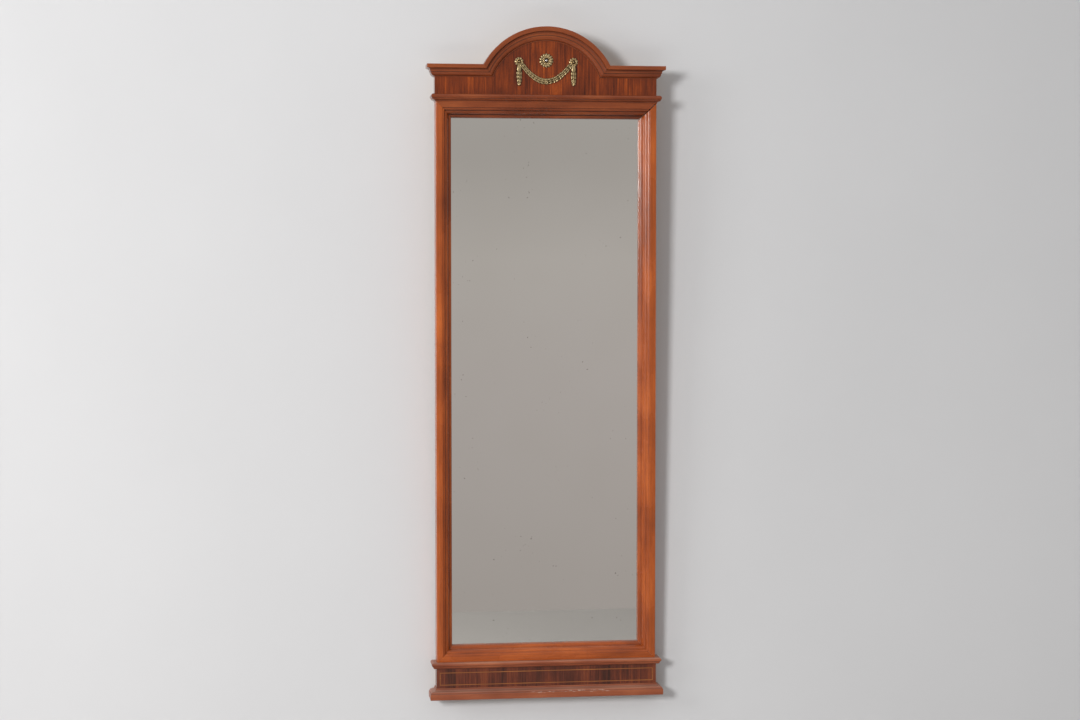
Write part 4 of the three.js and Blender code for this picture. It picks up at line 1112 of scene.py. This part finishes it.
def round_headed_pin(node, material, head):
    """A pin with a domed head that lies in the eye of its rosette."""
    relief = Relief()
    spot = centre(node)
    front = -low(node).y - FRIEZE_DEPTH
    back = -high(node).y - FRIEZE_DEPTH
    under = front - head * 0.8
    shank = 0.9 * MM
    outline = [(0, back), (shank, back + shank), (shank, under), (head * 0.92, under)]
    outline += [*arc(0, under, head, head * 0.8, 6, 84, 8), (0, front)]
    loops = relief.circles(spot.x, spot.z, [(radius, lift, 0.6) for radius, lift in outline], 32)
    skin(relief.bm, loops)
    finished(node, relief.bm, material, [node], smooth_below=50)


rosette_mount()
swag_mount()
round_headed_pin("rosette_pin", bright_steel, 2.8 * MM)
round_headed_pin("swag_pin_left", brass, 2.3 * MM)
round_headed_pin("swag_pin_right", brass, 2.3 * MM)


# ---------------- hanger


HINGE = centre("hanger_ring")
WIRE_RADIUS = 1.5 * MM
RING_HALF = (high("hanger_ring").x - low("hanger_ring").x) / 2 - WIRE_RADIUS
HINGE_LEVEL = high("hanger_ring").z - WIRE_RADIUS
SPRIG_LENGTH = 11 * MM
SPRIG_LIFT = 0.55 * MM
# how far along a sprig, and its half width and half depth there in mm
SPRIG_OUTLINE = ((0, 0.9, 0.5), (0.04, 1.1, 0.55), (0.9, 0.45, 0.5), (1, 0.1, 0.3))


def d_ring():
    corner = 3 * MM
    leg = 15 * MM
    path = arc(RING_HALF - corner, corner, corner, corner, -90, 0, 8)
    path += arc(0, leg, RING_HALF, RING_HALF, 0, 180, 48)
    path += arc(corner - RING_HALF, corner, corner, corner, 180, 270, 8)
    middle_line = [Vector((x, HINGE.y, HINGE_LEVEL - drop)) for x, drop in path]
    backward = Vector((0, 1, 0))
    bm = bmesh.new()
    loops = []
    for i, point in enumerate(middle_line):
        ahead = middle_line[(i + 1) % len(middle_line)] - middle_line[i - 1]
        side = ahead.normalized().cross(backward)
        loops.append([bm.verts.new(point + (side * c + backward * s) * WIRE_RADIUS) for c, s in around(20)])
    skin(bm, loops, closed=True)
    finished("hanger_ring", bm, steel, ["hanger_ring"], smooth_below=60, body="ring")


def sprig(x, height, across, up):
    """A cut nail that lies on the back board with its point in the rebate; it points along (across, up)."""
    bm = bmesh.new()
    head = Vector((x, high("back_board").y + SPRIG_LIFT, height))
    direction = Vector((across, 0, up))
    sideways = Vector((-up, 0, across)) * MM
    depthways = Vector((0, MM, 0))
    loops = []
    for share, half_width, half_depth in SPRIG_OUTLINE:
        loop = []
        for a, b in ((-1, -1), (1, -1), (1, 1), (-1, 1)):
            corner = sideways * (a * half_width) + depthways * (b * half_depth)
            loop.append(bm.verts.new(head + direction * (SPRIG_LENGTH * share) + corner))
        loops.append(loop)
    skin(bm, loops, capped=True)
    return bm


def sprigs():
    """Six cut nails up each side of the back board, and two at its top and its foot."""
    edge = high("back_board")
    foot = low("back_board")
    inset = 7 * MM
    upright = 6
    made = []
    for side in (-1, 1):
        for i in range(upright):
            level = foot.z + (edge.z - foot.z) * (i + 0.5) / upright + random.uniform(-12, 12) * MM
            made.append(sprig(side * (edge.x - inset), level, side, 0.12 * side))
    for level, up in ((edge.z - inset, 1), (foot.z + inset, -1)):
        for share in (-0.54, 0.54):
            made.append(sprig(share * edge.x + random.uniform(-8, 8) * MM, level, 0.1, up))
    for number, bm in enumerate(made):
        finished(f"sprig_{number}", bm, steel)


d_ring()
sprigs()


# ---------------- finishes of the CAD nodes that stay


def paint(material, *names):
    for name in names:
        data = frame["nodes"][name].data
        data.materials.clear()
        data.materials.append(material)


paint(frieze_wood, "frieze_veneer")
paint(plinth_wood, "plinth_veneer")
paint(string_wood, "stringing_top", "stringing_bottom")
paint(board_wood, "crest_board", "plinth_board")
paint(silvered, "mirror_plate")
paint(pine_upright, "back_board")
paint(steel, "hanger_strap", "hanger_screw_upper", "hanger_screw_lower")
for _, side in SIDES:
    paint(string_wood, f"stringing_{side}")
    paint(pine_level, f"mitre_tongue_top_{side}", f"mitre_tongue_bottom_{side}", f"plate_slip_{side}")
    for part in ("crest", "plinth"):
        paint(pine_upright, f"{part}_batten_{side}", f"{part}_dowel_{side}")
        paint(steel, f"{part}_screw_{side}_rail", f"{part}_screw_{side}_board")


# ---------------- stage, light and camera


def plane(name, corners, material):
    mesh = bpy.data.meshes.new(name)
    mesh.from_pydata(corners, [], [(0, 1, 2, 3)])
    mesh.materials.append(material)
    sheet = bpy.data.objects.new(name, mesh)
    bpy.context.scene.collection.objects.link(sheet)


def plaster(name, tone, lit_through):
    """Matt pale paint on a sheet that is clear from behind, and that light may pass if lit_through."""
    nodes = Nodes(bpy.data.materials.new(name))
    cloud = nodes.noise(nodes.object_place(), 1.3, 3.0)
    nodes.shade(Base_Color=nodes.mix(nodes.between(cloud, 0.3, 0.7), tone, darkened(tone, 0.97)))
    nodes.shade(Roughness=0.9)
    clear = nodes.geometry("Backfacing")
    if lit_through:
        shadow_ray = nodes.add("ShaderNodeLightPath").outputs["Is Shadow Ray"]
        clear = nodes.maths("MAXIMUM", clear, shadow_ray)
    choose = nodes.add("ShaderNodeMixShader", clear, nodes.shader, nodes.add("ShaderNodeBsdfTransparent"))
    nodes.feed(nodes.tree.nodes["Material Output"].inputs["Surface"], choose)
    return nodes.owner


WALL_TONE = colour(207, 207, 208)
FLOOR_TONE = colour(171, 166, 162)
FLOOR_BEHIND_TONE = colour(232, 230, 227)
WALL_LEAN = 0.033  # the real mirror's top hangs forward; here it stands upright and the wall leans away
WALL_GAP = 1.5 * MM
FLOOR_DROP = 0.6
FLOOR_FRONT = -4.58  # the floor ends at the far side of the studio, which shows low in the glass


def stage():
    floor_level = FOOT - FLOOR_DROP
    top = WING_TOP + 2.2
    half = 7.0
    foot_y = WALL_GAP - WALL_LEAN * FLOOR_DROP
    top_y = WALL_GAP + WALL_LEAN * (top - FOOT)
    wall = [(-half, foot_y, floor_level), (half, foot_y, floor_level), (half, top_y, top)]
    plane("wall", [*wall, (-half, top_y, top)], plaster("wall", WALL_TONE, True))
    for name, front, back, tone in (
        ("floor", FLOOR_FRONT, foot_y, FLOOR_TONE),
        ("floor_behind", foot_y, half, FLOOR_BEHIND_TONE),
    ):
        corners = [(-half, front), (half, front), (half, back), (-half, back)]
        plane(name, [(x, y, floor_level) for x, y in corners], plaster(name, tone, False))


def area_light(name, place, aim, width, height, power, highlights=True):
    """A lamp turned towards the height "aim" on the mirror's middle line."""
    data = bpy.data.lights.new(name, "AREA")
    data.shape = "RECTANGLE"
    data.size = width
    data.size_y = height
    data.energy = power
    lamp = bpy.data.objects.new(name, data)
    lamp.location = place
    lamp.rotation_euler = (Vector((0, 0, aim)) - Vector(place)).to_track_quat("-Z", "Y").to_euler()
    lamp.visible_camera = False
    lamp.visible_glossy = highlights
    bpy.context.scene.collection.objects.link(lamp)


AMBIENT_FROM_BELOW = 0.12
AMBIENT_FROM_ABOVE = 0.6
BEYOND_WALL_TONE = colour(214, 213, 211)
# what glossy things see of the studio's far side, at the upward share of their line of sight
STUDIO_TONES = [
    (-0.4, colour(162, 156, 151)),
    (-0.16, colour(170, 163, 159)),
    (-0.056, colour(180, 173, 170)),
    (0.0, colour(183, 177, 173)),
    (0.05, colour(171, 166, 162)),
    (0.25, colour(186, 183, 179)),
    (0.7, colour(240, 240, 240)),
]


def world():
    """Soft light all round; glossy things see the grey-beige far side of the studio instead."""
    nodes = Nodes(bpy.data.worlds.new("studio"), "Background")
    bpy.context.scene.world = nodes.owner
    upward = nodes.split(nodes.add("ShaderNodeTexCoord").outputs["Generated"])["Z"]
    height = nodes.scaled(upward, 0.5, 0.5)
    far_side = nodes.ramp(height, [(0.5 + share / 2, tone) for share, tone in STUDIO_TONES])
    ambient = nodes.add("ShaderNodeMapRange", height, 0.0, 1.0, AMBIENT_FROM_BELOW, AMBIENT_FROM_ABOVE)
    rays = nodes.add("ShaderNodeLightPath").outputs
    lit = nodes.mix(rays["Is Glossy Ray"], ambient, far_side)
    nodes.shade(Color=nodes.mix(rays["Is Camera Ray"], lit, BEYOND_WALL_TONE))


stage()
world()
area_light("key", (-2.8, -4.5, 0.4), aim=-0.5, width=0.9, height=0.9, power=158)
area_light("window", (-3.9, -2.0, 0.6), aim=-0.4, width=1.5, height=1.6, power=50)
area_light("floor_glow", (-0.8, -3.2, -1.6), aim=-0.1, width=3.0, height=0.4, power=7, highlights=False)
area_light("behind", (0, 4.0, 0.3), aim=-0.5, width=1.0, height=2.0, power=90, highlights=False)


def camera():
    """The photo's view, fitted to the edges of the frame in it."""
    place = Vector((-0.581, -4.380, -0.312))
    forward = Vector((0.1293, 0.9904, -0.0483)).normalized()
    up = Vector((0.0063, 0.0479, 0.9988))
    right = forward.cross(up).normalized()
    up = right.cross(forward)
    data = bpy.data.cameras.new("camera")
    data.sensor_width = 36
    data.lens = 70
    made = bpy.data.objects.new("camera", data)
    rotation = Matrix((right, up, -forward)).transposed().to_4x4()
    made.matrix_world = Matrix.Translation(place) @ rotation
    bpy.context.scene.collection.objects.link(made)
    bpy.context.scene.camera = made


camera()
bpy.context.scene.view_settings.view_transform = "Standard"
